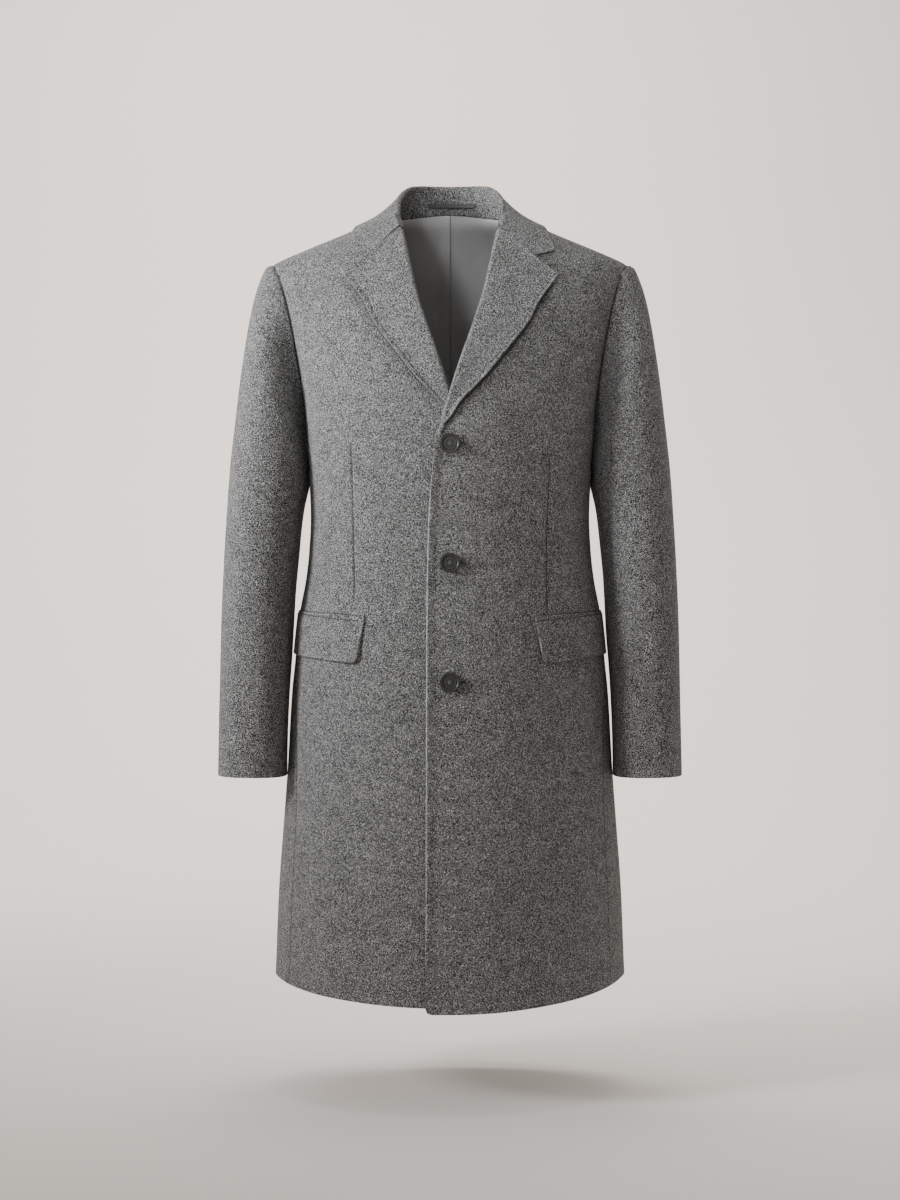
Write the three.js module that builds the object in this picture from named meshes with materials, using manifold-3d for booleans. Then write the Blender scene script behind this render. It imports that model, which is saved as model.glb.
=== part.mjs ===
// A man's single-breasted wool overcoat, filled out as if worn, with nobody in it. Millimetres.
// +Z is up, the front faces -Y, and +X is the wearer's left.
// The origin is inside the neck, at the height where the wearer's shoulders take the collar's weight.
// Every panel is cut from one body surface: rings at each height, and an angle round each ring.

import * as THREE from 'three';
import { mergeVertices } from 'three/addons/utils/BufferGeometryUtils.js';
import Module from 'manifold-3d';

// Cloth thicknesses and the gaps between pieces
const WOOL = 2.4;
const LAPEL_WOOL = 2.2;
const SATIN = 1.0;
const SEAM_GAP = 0.3;
const LAY_GAP = 0.7;

// Heights of the main lines, measured from the origin
const HEM_Z = -963;
const FRONT_HEM_DROP = 22;
const UNDER_HEM_DROP = 15;
const HEM_FADE_Z = -700;
const HEM_TURN = 0.25;
const HEM_CURVE = 1.1;
const UNDERARM_Z = -320.5;
const SHOULDER_TIP_Z = -51;
const NECK_POINT_Z = 13;
const NAPE_RISE = 14;
const BREAK_Z = -281;

// Body rings: half width, depth of the middle of the front and of the back, place of the
// widest point (+ is to the back), and how square the ring is (2 is an ellipse)
const BODY = table(['z', 'half', 'front', 'back', 'side', 'power'], [
  [-990, 227.5, 164, 153, 23, 2.15],
  [-962, 226, 162, 152, 22, 2.15],
  [-855, 221.5, 156, 147, 20, 2.17],
  [-760, 214.5, 151, 141, 18, 2.2],
  [-700, 210, 148, 138, 16, 2.2],
  [-600, 204, 142, 135, 12, 2.22],
  [-562, 200, 140, 132, 10, 2.25],
  [-500, 194, 135, 124, 8, 2.25],
  [-457, 186, 130.5, 115, 7, 2.25],
  [-424, 182, 128, 109, 6, 2.25],
  [-378, 179.5, 127.5, 107, 5, 2.25],
  [-320.5, 181.9, 131.5, 114.5, 5, 2.33],
  [-288, 185.2, 133.5, 120, 5, 2.4],
  [-253, 187.4, 133, 126, 5, 2.5],
  [-229, 189.8, 130, 129, 5, 2.55],
  [-200, 194.6, 126, 130.5, 5, 2.55],
  [-170, 201.5, 119, 130.5, 6, 2.5],
  [-139, 210.5, 109, 128.5, 6, 2.45],
  [-110, 221.5, 98.5, 124, 6, 2.4],
  [-86, 231, 88, 119, 7, 2.35],
  [-67, 234, 79.5, 113, 8, 2.3],
  [-59, 233, 76, 110, 8, 2.3],
  [-51, 228, 72, 107.5, 8, 2.3],
  [-46, 220, 69.5, 105.8, 8.5, 2.3],
  [-41, 209, 67, 104, 9, 2.3],
  [-28, 179, 60, 99, 10, 2.3],
  [-13, 143, 51, 92.5, 11, 2.3],
  [0, 114, 41, 85.5, 13, 2.3],
  [8, 96, 34, 80.5, 14, 2.3],
  [13, 84, 29, 77.5, 15, 2.3],
  [30, 80, 20, 75, 15, 2.3],
]);

// Side seam, as the angle round the ring from the middle of the front, in degrees
const SIDE_SEAM = table(['z', 'angle'], [
  [-990, 66], [-855, 66.6], [-760, 67.3], [-700, 69.5], [-640, 72.5], [-600, 75.5],
  [-562, 79], [-500, 82], [-424, 84], [-378, 86], [-345, 88], [-320.5, 90],
]);

// Armhole seam, as its distance from the middle in the front view
const ARMHOLE = table(['z', 'x'], [
  [-320.5, 181.9], [-302, 183.2], [-281, 184.8], [-253, 186.4], [-229, 188.3], [-200, 191.6],
  [-170, 196], [-139, 201], [-110, 207], [-86, 213.5], [-67, 220], [-51, 228],
]);

// Free front edge of the upper front below the break, and its roll line above it
const FRONT_LINE = table(['z', 'x'], [
  [-990, -29], [-700, -28.5], [-500, -28], [-400, -26.5], [-340, -23], [-300, -19.5],
  [-281, -17.8], [-270, -13.5], [-248, -7.3], [-226, -0.6], [-206, 5.5], [-173.5, 16],
  [-134, 29.6], [-90.5, 42.3], [-47, 51.4], [-15, 58.8], [-7, 62.5], [4, 69], [13, 76],
]);

// Outer edge of the upper lapel, down from the gorge, over the notch and the tip, to the break
const LAPEL_EDGE = table(['z', 'x'], [
  [-281, -15], [-270, -9.5], [-256, 2.5], [-240.5, 13.5], [-210, 41.8], [-170, 73.5],
  [-138.6, 96.9], [-108.8, 112], [-76.5, 135.8],
]);
const LAPEL_TIP = { x: 135.8, z: -76.5 };
const NOTCH = { x: 104.5, z: -50.6 };
const GORGE_TOP = { x: 61, z: -7 };
const UNDER_LAPEL_WIDTH = 0.95;
const LAPEL_TAIL = 20;
const LAPEL_SPRING = 3;
const FOLD_RADIUS = WOOL / 2 + LAY_GAP + LAPEL_WOOL;
const PANEL_INSET = 4;
const FRONT_COLUMNS = 14;
const BACK_COLUMNS = 12;

// The upper front lies on the under front, and near the break also on the under lapel.
// Heights where the thicker stack starts, is full, thins and ends, and where all lift ends
const OVERLAP_LIFT = 3;
const BREAK_LIFT = 5.6;
const STACK = { starts: -310, full: -268, thins: -222, ends: -150 };
const OVERLAP_ENDS_Z = -110;
const LIFT_FADES = { from: 28, to: 110 };

// Heights between which the panel's inset from the roll line comes in, and goes again
const INSET_IN_Z = BREAK_Z - 8;
const INSET_OUT_Z = -20;

// Lapel: rows above its tip, the facing's strip behind the roll, and where its edge stands free
const LAPEL_TOP_ROWS = [-67, -59, -40, -29, -19, -13];
const TAIL_STARTS = { from: -235, to: -170 };
const TAIL_ENDS = { from: -45, to: -19 };
const EDGE_FREE_Z = -200;
const EDGE_HELD = { from: -60, to: -10 };
const UNDER_LAPEL_SPRING = 1.2;

// Fold of the collar from the middle of the back to the gorge, and the fall's outer edge,
// given by the angle round the body, in degrees, and the height
const COLLAR_FOLD = table(['t', 'x', 'y', 'z'], [
  [0, 0, 75, 64.5], [0.17, 30, 71, 64.5], [0.32, 48.5, 57, 61.5], [0.46, 60.5, 34, 51],
  [0.62, 67, 8, 34], [0.8, 67, -14, 15], [1, 61, -38, -8],
]);
const COLLAR_EDGE = table(['t', 'angle', 'z'], [
  [0, 180, 13], [0.2, 141, 12], [0.38, 117.5, 8], [0.52, 103, 3], [0.64, 91, -1],
  [0.74, 79.7, -6], [0.82, 73.3, -14], [0.92, 67.5, -29], [1, 64, -42.5],
]);
const COLLAR_CLEARANCE = 1.3;
const COLLAR_WOOL = 2.4;
const COLLAR_ROLL = 2.6;
const COLLAR_CORNER = 0.6;
const COLLAR_CENTRE_Y = 15;
const COLLAR_SEAM_END = 0.68;
const COLLAR_FOOT = { back: -2, down: -9, from: 0.6, to: 0.86 };
const COLLAR_SAG_FROM = 0.72;
const COLLAR_LAYS = 0.3;

// Sleeve rings: outer and inner point in the front view, half depth, and middle in depth
const SLEEVE = table(['t', 'outX', 'outZ', 'inX', 'inZ', 'deep', 'mid'], [
  [0, 228, -51, 181.9, -320.5, 64, 6],
  [1, 236, -54, 182.4, -324, 65, 6],
  [2, 245.5, -73, 182.3, -329, 67, 6],
  [3, 252.5, -97, 182.6, -336, 69, 6],
  [4, 259, -130, 185, -347, 71, 5],
  [5, 265, -168, 188, -360, 73, 4],
  [6, 270.5, -208, 190.8, -378, 74, 3],
  [7, 276, -255, 193.5, -404, 74, 2],
  [8, 282, -310, 196, -440, 73, 0],
  [9, 286.5, -375, 199, -480, 71, -3],
  [10, 290, -440, 201.5, -520, 68, -7],
  [11, 292.5, -505, 204, -562, 65, -11],
  [12, 294, -575, 206.5, -610, 61, -15],
  [13, 295, -642, 208, -658, 58, -19],
  [14, 296, -705, 208.5, -706, 54.5, -22],
]);
const SLEEVE_POINTS = 24;
const SLEEVE_POWER = 2.15;
const SLEEVE_WOOL = 2.2;
const SLEEVE_SEAM_FRONT = 150;
const SLEEVE_SEAM_BACK = 285;

// Pocket flaps and their welts
const FLAP = { front: 105, frontLow: 113, backAngle: 83.5, topFront: -509, topBack: -498, drop: 52 };
const FLAP_CORNER = 9;
const FLAP_LENGTH = 150;
const FLAP_STATIONS = [0, 2, 5, 9, 16, 27, 42, 62, 84, 106, 128, FLAP_LENGTH];
const FLAP_WOOL = 2.2;
const FLAP_STAND_OFF = 3.2;
const FLAP_BACK_CLOSE = 0.8;
const WELT_FRONT = 7;
const WELT_BACK = 3;
const WELT_WOOL = 1.2;

// Buttons
const BUTTON_RADIUS = 12.5;
const BUTTON_THICK = 4;
const BUTTON_SHANK = 2.4;
const BUTTON_SHANK_RADIUS = 3;
const BUTTON_HOLE = 1;
const BUTTON_HOLE_SPREAD = 2.4;
const BUTTON_GAP = 1;
const BUTTON_HEIGHTS = { top: -290.3, middle: -437, bottom: -582.7 };

// Lining inside the back, and the loop that the coat hangs by
const LINING_CLEAR = 2;
const LINING_HEM_UP = 24;
const PLEAT_DEPTH = 3;
const PLEAT_ANGLES = [178, 179.4, 180.6, 182];
const PLEAT_EDGE = { from: 179.2, to: 180.8, fades: 192 };
const LINING_SEAM_IN = 2.5;
const LOOP_HALF = 31.5;
const LOOP_MIDDLE = 1.8;
const LOOP_HEIGHT = 6;
const LOOP_Z = 39;
const LOOP_THICK = 1.2;
const LOOP_SLACK = { ends: 0.8, middle: 2 };

const DEGREE = Math.PI / 180;

const wool = new THREE.MeshStandardMaterial({ color: 0x6d6d6b, roughness: 0.95, metalness: 0 });
const satin = new THREE.MeshStandardMaterial({ color: 0x6a6764, roughness: 0.45, metalness: 0 });
const horn = new THREE.MeshStandardMaterial({ color: 0x2c2b2a, roughness: 0.3, metalness: 0 });

// Tables are kept as one array for each named column, with the first column rising
function table(names, rows) {
  const columns = Object.fromEntries(names.map((name, i) => [name, rows.map((row) => row[i])]));
  return { key: names[0], columns };
}

// Smooth value of a column that never overshoots its rows (a monotone cubic)
function at(source, name, where) {
  const xs = source.columns[source.key];
  const ys = source.columns[name];
  const last = xs.length - 1;
  if (where <= xs[0]) return ys[0];
  if (where >= xs[last]) return ys[last];
  let i = 0;
  while (xs[i + 1] < where) i += 1;
  const slope = (k) => (ys[k + 1] - ys[k]) / (xs[k + 1] - xs[k]);
  const tangent = (k) => {
    if (k === 0) return slope(0);
    if (k === last) return slope(last - 1);
    const before = slope(k - 1);
    const after = slope(k);
    return before * after <= 0 ? 0 : (2 * before * after) / (before + after);
  };
  const step = xs[i + 1] - xs[i];
  const u = (where - xs[i]) / step;
  const u2 = u * u;
  const u3 = u2 * u;
  const ends = (2 * u3 - 3 * u2 + 1) * ys[i] + (3 * u2 - 2 * u3) * ys[i + 1];
  return ends + (u3 - 2 * u2 + u) * step * tangent(i) + (u3 - u2) * step * tangent(i + 1);
}

function mix(a, b, share) {
  return a + (b - a) * share;
}

function smooth(low, high, value) {
  const u = THREE.MathUtils.clamp((value - low) / (high - low), 0, 1);
  return u * u * (3 - 2 * u);
}

function steps(count) {
  return Array.from({ length: count + 1 }, (_, i) => i / count);
}

// A point of the body surface: a squared ellipse at height z, seen from inside at an angle
function bodyPoint(angle, z) {
  const side = at(BODY, 'side', z);
  const power = at(BODY, 'power', z);
  const across = Math.sin(angle);
  const ahead = Math.cos(angle);
  const depth = ahead > 0 ? at(BODY, 'front', z) + side : at(BODY, 'back', z) - side;
  const sum = (Math.abs(across) / at(BODY, 'half', z)) ** power + (Math.abs(ahead) / depth) ** power;
  const radius = sum ** (-1 / power);
  return new THREE.Vector3(radius * across, side - radius * ahead, z);
}

// Outward direction of the body surface
function bodyNormal(angle, z) {
  const round = bodyPoint(angle + 0.004, z).sub(bodyPoint(angle - 0.004, z));
  const rise = bodyPoint(angle, z + 0.5).sub(bodyPoint(angle, z - 0.5));
  return round.cross(rise).normalize();
}

function bodyOffset(angle, z, lift) {
  return bodyPoint(angle, z).addScaledVector(bodyNormal(angle, z), lift);
}

// Angle of the front or back surface at a distance x from the middle
function angleAtX(x, z, back = false) {
  const side = at(BODY, 'side', z);
  const power = at(BODY, 'power', z);
  const share = Math.min(Math.abs(x) / at(BODY, 'half', z), 1);
  const depth = back ? at(BODY, 'back', z) - side : at(BODY, 'front', z) + side;
  const angle = Math.atan2(Math.abs(x), depth * (1 - share ** power) ** (1 / power));
  return Math.sign(x) * (back ? Math.PI - angle : angle);
}

// How far a point stands out from the body surface, and in which direction
function standOff(point) {
  const measure = (x, y, z) => {
    const side = at(BODY, 'side', z);
    const power = at(BODY, 'power', z);
    const depth = y < side ? at(BODY, 'front', z) + side : at(BODY, 'back', z) - side;
    const across = Math.abs(x) / at(BODY, 'half', z);
    const ahead = Math.abs(y - side) / depth;
    return (across ** power + ahead ** power) ** (1 / power) - 1;
  };
  const { x, y, z } = point;
  const here = measure(x, y, z);
  const way = new THREE.Vector3(
    measure(x + 0.5, y, z) - measure(x - 0.5, y, z),
    measure(x, y + 0.5, z) - measure(x, y - 0.5, z),
    measure(x, y, z + 0.5) - measure(x, y, z - 0.5),
  );
  const size = way.length();
  return { distance: here / size, way: way.divideScalar(size) };
}

function keepClear(point, clearance) {
  for (let pass = 0; pass < 4; pass += 1) {
    const { distance, way } = standOff(point);
    if (distance < clearance) point.addScaledVector(way, clearance - distance);
  }
  return point;
}

// A closed wall from two grids of points, one for each face; each four points are split
// along their shorter diagonal
function wall(first, second) {
  const rows = first.length;
  const cols = first[0].length;
  const points = [...first.flat(), ...second.flat()];
  const half = rows * cols;
  const index = [];
  const spot = (face, i, j) => face * half + i * cols + j;
  const apart = (a, b) => points[a].distanceToSquared(points[b]);
  const quad = (a, b, c, d) => {
    if (apart(a, c) <= apart(b, d)) index.push(a, b, c, a, c, d);
    else index.push(a, b, d, b, c, d);
  };
  for (let i = 0; i < rows - 1; i += 1) {
    for (let j = 0; j < cols - 1; j += 1) {
      quad(spot(0, i, j), spot(0, i, j + 1), spot(0, i + 1, j + 1), spot(0, i + 1, j));
      quad(spot(1, i, j), spot(1, i + 1, j), spot(1, i + 1, j + 1), spot(1, i, j + 1));
    }
  }
  for (let j = 0; j < cols - 1; j += 1) {
    quad(spot(0, 0, j), spot(1, 0, j), spot(1, 0, j + 1), spot(0, 0, j + 1));
    quad(spot(0, rows - 1, j), spot(0, rows - 1, j + 1), spot(1, rows - 1, j + 1), spot(1, rows - 1, j));
  }
  for (let i = 0; i < rows - 1; i += 1) {
    quad(spot(0, i, 0), spot(0, i + 1, 0), spot(1, i + 1, 0), spot(1, i, 0));
    quad(spot(0, i, cols - 1), spot(1, i, cols - 1), spot(1, i + 1, cols - 1), spot(0, i + 1, cols - 1));
  }
  return outward(points, index);
}

// A geometry whose faces point out, whichever way its rows and columns run
function outward(points, index) {
  let volume = 0;
  for (let k = 0; k < index.length; k += 3) {
    const [a, b, c] = [points[index[k]], points[index[k + 1]], points[index[k + 2]]];
    volume += a.dot(b.clone().cross(c));
  }
  const turned = volume < 0 ? index.slice().reverse() : index;
  const geometry = new THREE.BufferGeometry();
  geometry.setAttribute('position', new THREE.Float32BufferAttribute(points.flatMap((p) => p.toArray()), 3));
  geometry.setIndex(turned);
  geometry.computeVertexNormals();
  return geometry;
}

function mirrored(grid) {
  return grid.map((row) => row.map((p) => new THREE.Vector3(-p.x, p.y, p.z)));
}

const coat = new THREE.Group();

function add(name, geometry, material) {
  const mesh = new THREE.Mesh(geometry, material);
  mesh.name = name;
  coat.add(mesh);
}

// The same piece on the wearer's left (+X) and, mirrored, on the right
function addPair(name, first, second, material) {
  add(`${name}_left`, wall(first, second), material);
  add(`${name}_right`, wall(mirrored(first), mirrored(second)), material);
}

// Rows of the panels: even down the skirt, and at the sleeve's own points up the armhole
const armholeMiddle = (SHOULDER_TIP_Z + UNDERARM_Z) / 2;
const armholeReach = (SHOULDER_TIP_Z - UNDERARM_Z) / 2;
const armholeRows = steps(SLEEVE_POINTS / 2).map((t) => armholeMiddle - armholeReach * Math.cos(t * Math.PI));
const skirtRows = steps(10).slice(0, -1).map((t) => mix(HEM_Z, UNDERARM_Z, t));
const shoulderRows = steps(6).slice(1).map((t) => mix(SHOULDER_TIP_Z, NECK_POINT_Z, t));
const panelRows = [...skirtRows, ...armholeRows, ...shoulderRows];

function hemShift(angle, z, drop) {
  const share = 1 - smooth(HEM_Z, HEM_FADE_Z, z);
  return -drop * share * Math.max((Math.cos(angle) - HEM_TURN) / (1 - HEM_TURN), 0) ** HEM_CURVE;
}

function atArmhole(z) {
  return z > UNDERARM_Z && z < SHOULDER_TIP_Z;
}

// Angle of a panel's outer edge: side seam, then armhole, then shoulder seam
function outerAngle(z, back) {
  if (atArmhole(z)) return angleAtX(at(ARMHOLE, 'x', z), z, back);
  return z > UNDERARM_Z ? 90 * DEGREE : at(SIDE_SEAM, 'angle', z) * DEGREE;
}

// Angle that a seam allowance of half a gap takes at this place
function gapAngle(angle, z) {
  return SEAM_GAP / 2 / bodyPoint(angle, z).length();
}

function topLift(x, z) {
  const stacked = smooth(STACK.starts, STACK.full, z) * (1 - smooth(STACK.thins, STACK.ends, z));
  const below = 1 - smooth(STACK.thins, OVERLAP_ENDS_Z, z);
  return (OVERLAP_LIFT * below + BREAK_LIFT * stacked) * (1 - smooth(LIFT_FADES.from, LIFT_FADES.to, x));
}

// A front, from its free edge or roll line to the side seam, armhole and shoulder seam
function front(drop, liftAt) {
  const outer = [];
  const inner = [];
  for (const z of panelRows) {
    const inset = PANEL_INSET * smooth(INSET_IN_Z, BREAK_Z - 2, z);
    const edgeX = at(FRONT_LINE, 'x', z) + inset * (1 - smooth(INSET_OUT_Z, NECK_POINT_Z, z));
    const first = angleAtX(edgeX, z);
    const seam = outerAngle(z, false);
    const last = seam - (atArmhole(z) ? 0 : gapAngle(seam, z));
    const angles = steps(FRONT_COLUMNS).map((u) => mix(first, last, u));
    const spots = angles.map((angle) => [angle, z + hemShift(angle, z, drop)]);
    const lifts = spots.map(([angle, height]) => liftAt(bodyPoint(angle, height).x, height));
    outer.push(spots.map(([angle, height], k) => bodyOffset(angle, height, lifts[k])));
    inner.push(spots.map(([angle, height], k) => bodyOffset(angle, height, lifts[k] - WOOL)));
  }
  return [outer, inner];
}

function napeShift(angle, z) {
  const share = smooth(SHOULDER_TIP_Z, NECK_POINT_Z, z);
  return NAPE_RISE * share * Math.max(-Math.cos(angle), 0) ** 1.5;
}

// A back, from the middle seam to the side seam, armhole and shoulder seam
function back(drop) {
  const outer = [];
  const inner = [];
  for (const z of panelRows) {
    const seam = outerAngle(z, true);
    const first = seam + (atArmhole(z) ? 0 : gapAngle(seam, z));
    const last = Math.PI - gapAngle(Math.PI, z);
    const angles = steps(BACK_COLUMNS).map((u) => mix(first, last, u));
    const spots = angles.map((angle) => [angle, z + napeShift(angle, z) + hemShift(angle, z, drop)]);
    outer.push(spots.map(([angle, height]) => bodyPoint(angle, height)));
    inner.push(spots.map(([angle, height]) => bodyOffset(angle, height, -WOOL)));
  }
  return [outer, inner];
}

const noLift = () => 0;
const [topOuter, topInner] = front(FRONT_HEM_DROP, topLift);
const [underOuter, underInner] = front(UNDER_HEM_DROP, noLift);
add('front_left', wall(topOuter, topInner), wool);
add('front_right', wall(mirrored(underOuter), mirrored(underInner)), wool);

add('back_left', wall(...back(FRONT_HEM_DROP)), wool);
add('back_right', wall(...back(UNDER_HEM_DROP).map(mirrored)), wool);

// Armhole loop on the wearer's left, each point with the way on out of the panel's edge
function armholeLoop() {
  const spots = Array.from({ length: SLEEVE_POINTS }, (_, j) => {
    const turn = (j / SLEEVE_POINTS) * 2 * Math.PI;
    const z = armholeMiddle + armholeReach * Math.cos(turn);
    const height = THREE.MathUtils.clamp(z, UNDERARM_Z + 0.001, SHOULDER_TIP_Z - 0.001);
    const angle = outerAngle(height, turn > Math.PI);
    const settled = j === 0 || j === SLEEVE_POINTS / 2 ? 90 * DEGREE : angle;
    return { point: bodyPoint(settled, z), normal: bodyNormal(settled, z) };
  });
  const centre = spots.reduce((sum, s) => sum.add(s.point), new THREE.Vector3()).divideScalar(SLEEVE_POINTS);
  return spots.map(({ point, normal }, j) => {
    const next = spots[(j + 1) % SLEEVE_POINTS].point;
    const before = spots[(j + SLEEVE_POINTS - 1) % SLEEVE_POINTS].point;
    const on = next.clone().sub(before).cross(normal).normalize();
    if (on.dot(centre.clone().sub(point)) < 0) on.negate();
    return { point, normal, on, centre };
  });
}

// One sleeve ring away from the armhole: a squared ellipse between the outer and inner points
function sleeveRing(t, inset) {
  const out = new THREE.Vector3(at(SLEEVE, 'outX', t), at(SLEEVE, 'mid', t), at(SLEEVE, 'outZ', t));
  const inn = new THREE.Vector3(at(SLEEVE, 'inX', t), at(SLEEVE, 'mid', t), at(SLEEVE, 'inZ', t));
  const centre = out.clone().add(inn).multiplyScalar(0.5);
  const reach = out.clone().sub(centre);
  const long = reach.length() - inset;
  reach.normalize();
  const deep = at(SLEEVE, 'deep', t) - inset;
  return Array.from({ length: SLEEVE_POINTS }, (_, j) => {
    const turn = (j / SLEEVE_POINTS) * 2 * Math.PI;
    const along = Math.cos(turn);
    const forward = Math.sin(turn);
    const sum = Math.abs(along) ** SLEEVE_POWER + Math.abs(forward) ** SLEEVE_POWER;
    const radius = sum ** (-1 / SLEEVE_POWER);
    const point = centre.clone().addScaledVector(reach, long * along * radius);
    point.y -= deep * forward * radius;
    return point;
  });
}

// The sleeve from the armhole to the cuff, as outer and inner grids of whole rings
function sleeve() {
  const loop = armholeLoop();
  const outer = [];
  const inner = [];
  const start = loop.map(({ point, on }) => point.clone().addScaledVector(on, SEAM_GAP));
  outer.push(start);
  inner.push(loop.map(({ on, centre }, j) => {
    const inward = centre.clone().sub(start[j]).setX(0).normalize();
    inward.addScaledVector(on, Math.max(0, -inward.dot(on))).normalize();
    return start[j].clone().addScaledVector(inward, SLEEVE_WOOL);
  }));
  const last = at(SLEEVE, 't', 99);
  for (let t = 1; t <= last; t += 1) {
    const blend = smooth(0, 4, t);
    const ring = sleeveRing(t, 0);
    const lining = sleeveRing(t, SLEEVE_WOOL);
    const shift = loop.map(({ point }, j) => point.clone().sub(sleeveRing(0, 0)[j]));
    outer.push(ring.map((p, j) => p.clone().addScaledVector(shift[j], 1 - blend)));
    inner.push(lining.map((p, j) => p.clone().addScaledVector(shift[j], 1 - blend)));
  }
  return [outer, inner];
}

// A stretch of the sleeve's rings between two seams, pulled back half a gap at each
function sleevePiece(grid, from, to) {
  const each = 360 / SLEEVE_POINTS;
  const first = Math.round(from / each);
  const count = Math.round((to - from) / each);
  return grid.map((ring) => {
    const pick = (k) => ring[(first + k + SLEEVE_POINTS) % SLEEVE_POINTS];
    const row = Array.from({ length: count + 1 }, (_, k) => pick(k).clone());
    const pull = (end, next) => end.addScaledVector(next.clone().sub(end).normalize(), SEAM_GAP / 2);
    pull(row[0], row[1]);
    pull(row[count], row[count - 1]);
    return row;
  });
}

const [sleeveOuter, sleeveInner] = sleeve();
for (const [name, from, to] of [
  ['top_sleeve', SLEEVE_SEAM_BACK - 360, SLEEVE_SEAM_FRONT],
  ['under_sleeve', SLEEVE_SEAM_FRONT, SLEEVE_SEAM_BACK],
]) {
  addPair(name, sleevePiece(sleeveOuter, from, to), sleevePiece(sleeveInner, from, to), wool);
}

// Outer edge of a lapel at height z: the gorge and the notch's lower side lie above the tip
function lapelEdgeX(z) {
  if (z <= LAPEL_TIP.z) return at(LAPEL_EDGE, 'x', z);
  if (z <= NOTCH.z) return mix(LAPEL_TIP.x, NOTCH.x, (z - LAPEL_TIP.z) / (NOTCH.z - LAPEL_TIP.z));
  return mix(NOTCH.x, GORGE_TOP.x, (z - NOTCH.z) / (GORGE_TOP.z - NOTCH.z));
}

const lapelRows = [
  BREAK_Z, ...armholeRows.filter((z) => z > BREAK_Z + 4 && z < LAPEL_TIP.z - 4),
  LAPEL_TIP.z, NOTCH.z, ...LAPEL_TOP_ROWS,
].sort((a, b) => a - b);

// A lapel and the strip of facing behind its roll, folded round the front's edge
function lapel(liftAt, width, spring, firstRow) {
  const seen = [];
  const hidden = [];
  for (const z of lapelRows.slice(firstRow)) {
    const roll = at(FRONT_LINE, 'x', z);
    const middle = roll + FOLD_RADIUS;
    const gorge = z > NOTCH.z - 1 ? SEAM_GAP * 2 : 0;
    const trim = mix(width, 1, smooth(LAPEL_TIP.z, NOTCH.z, z));
    const wide = Math.max((lapelEdgeX(z) - roll) * trim, FOLD_RADIUS + 2);
    const edge = Math.max(roll + wide - gorge, middle + 1.5);
    const started = smooth(TAIL_STARTS.from, TAIL_STARTS.to, z);
    const behind = started * (1 - smooth(TAIL_ENDS.from, TAIL_ENDS.to, z));
    const tail = LAPEL_TAIL * behind + 1.5;
    const under = WOOL + LAY_GAP;
    const base = liftAt(middle, z);
    const place = (x, lift) => bodyOffset(angleAtX(x, z), z, lift);
    const rowSeen = [1, 0.5].map((k) => place(middle + tail * k, base - under - LAPEL_WOOL));
    const rowHidden = [1, 0.5].map((k) => place(middle + tail * k, base - under));
    for (const turn of steps(4).map((u) => (u - 0.5) * Math.PI)) {
      for (const [row, radius] of [[rowSeen, FOLD_RADIUS], [rowHidden, FOLD_RADIUS - LAPEL_WOOL]]) {
        row.push(place(middle - radius * Math.cos(turn), base - WOOL / 2 + radius * Math.sin(turn)));
      }
    }
    for (const u of steps(7).slice(1)) {
      const x = mix(middle, edge, u);
      const free = smooth(BREAK_Z, EDGE_FREE_Z, z) * (1 - smooth(EDGE_HELD.from, EDGE_HELD.to, z));
      const lift = liftAt(x, z) + LAY_GAP + spring * u ** 2 * free;
      rowSeen.push(place(x, lift + LAPEL_WOOL));
      rowHidden.push(place(x, lift));
    }
    seen.push(rowSeen);
    hidden.push(rowHidden);
  }
  return [seen, hidden];
}

const [lapelSeen, lapelHidden] = lapel(topLift, 1, LAPEL_SPRING, 0);
add('lapel_left', wall(lapelSeen, lapelHidden), wool);
const [underSeen, underHidden] = lapel(noLift, UNDER_LAPEL_WIDTH, UNDER_LAPEL_SPRING, 2);
add('lapel_right', wall(mirrored(underSeen), mirrored(underHidden)), wool);

// Height of the back's neck edge at an angle
function neckEdge(angle, lift) {
  return bodyOffset(angle, NECK_POINT_Z + napeShift(angle, NECK_POINT_Z), lift);
}

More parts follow.
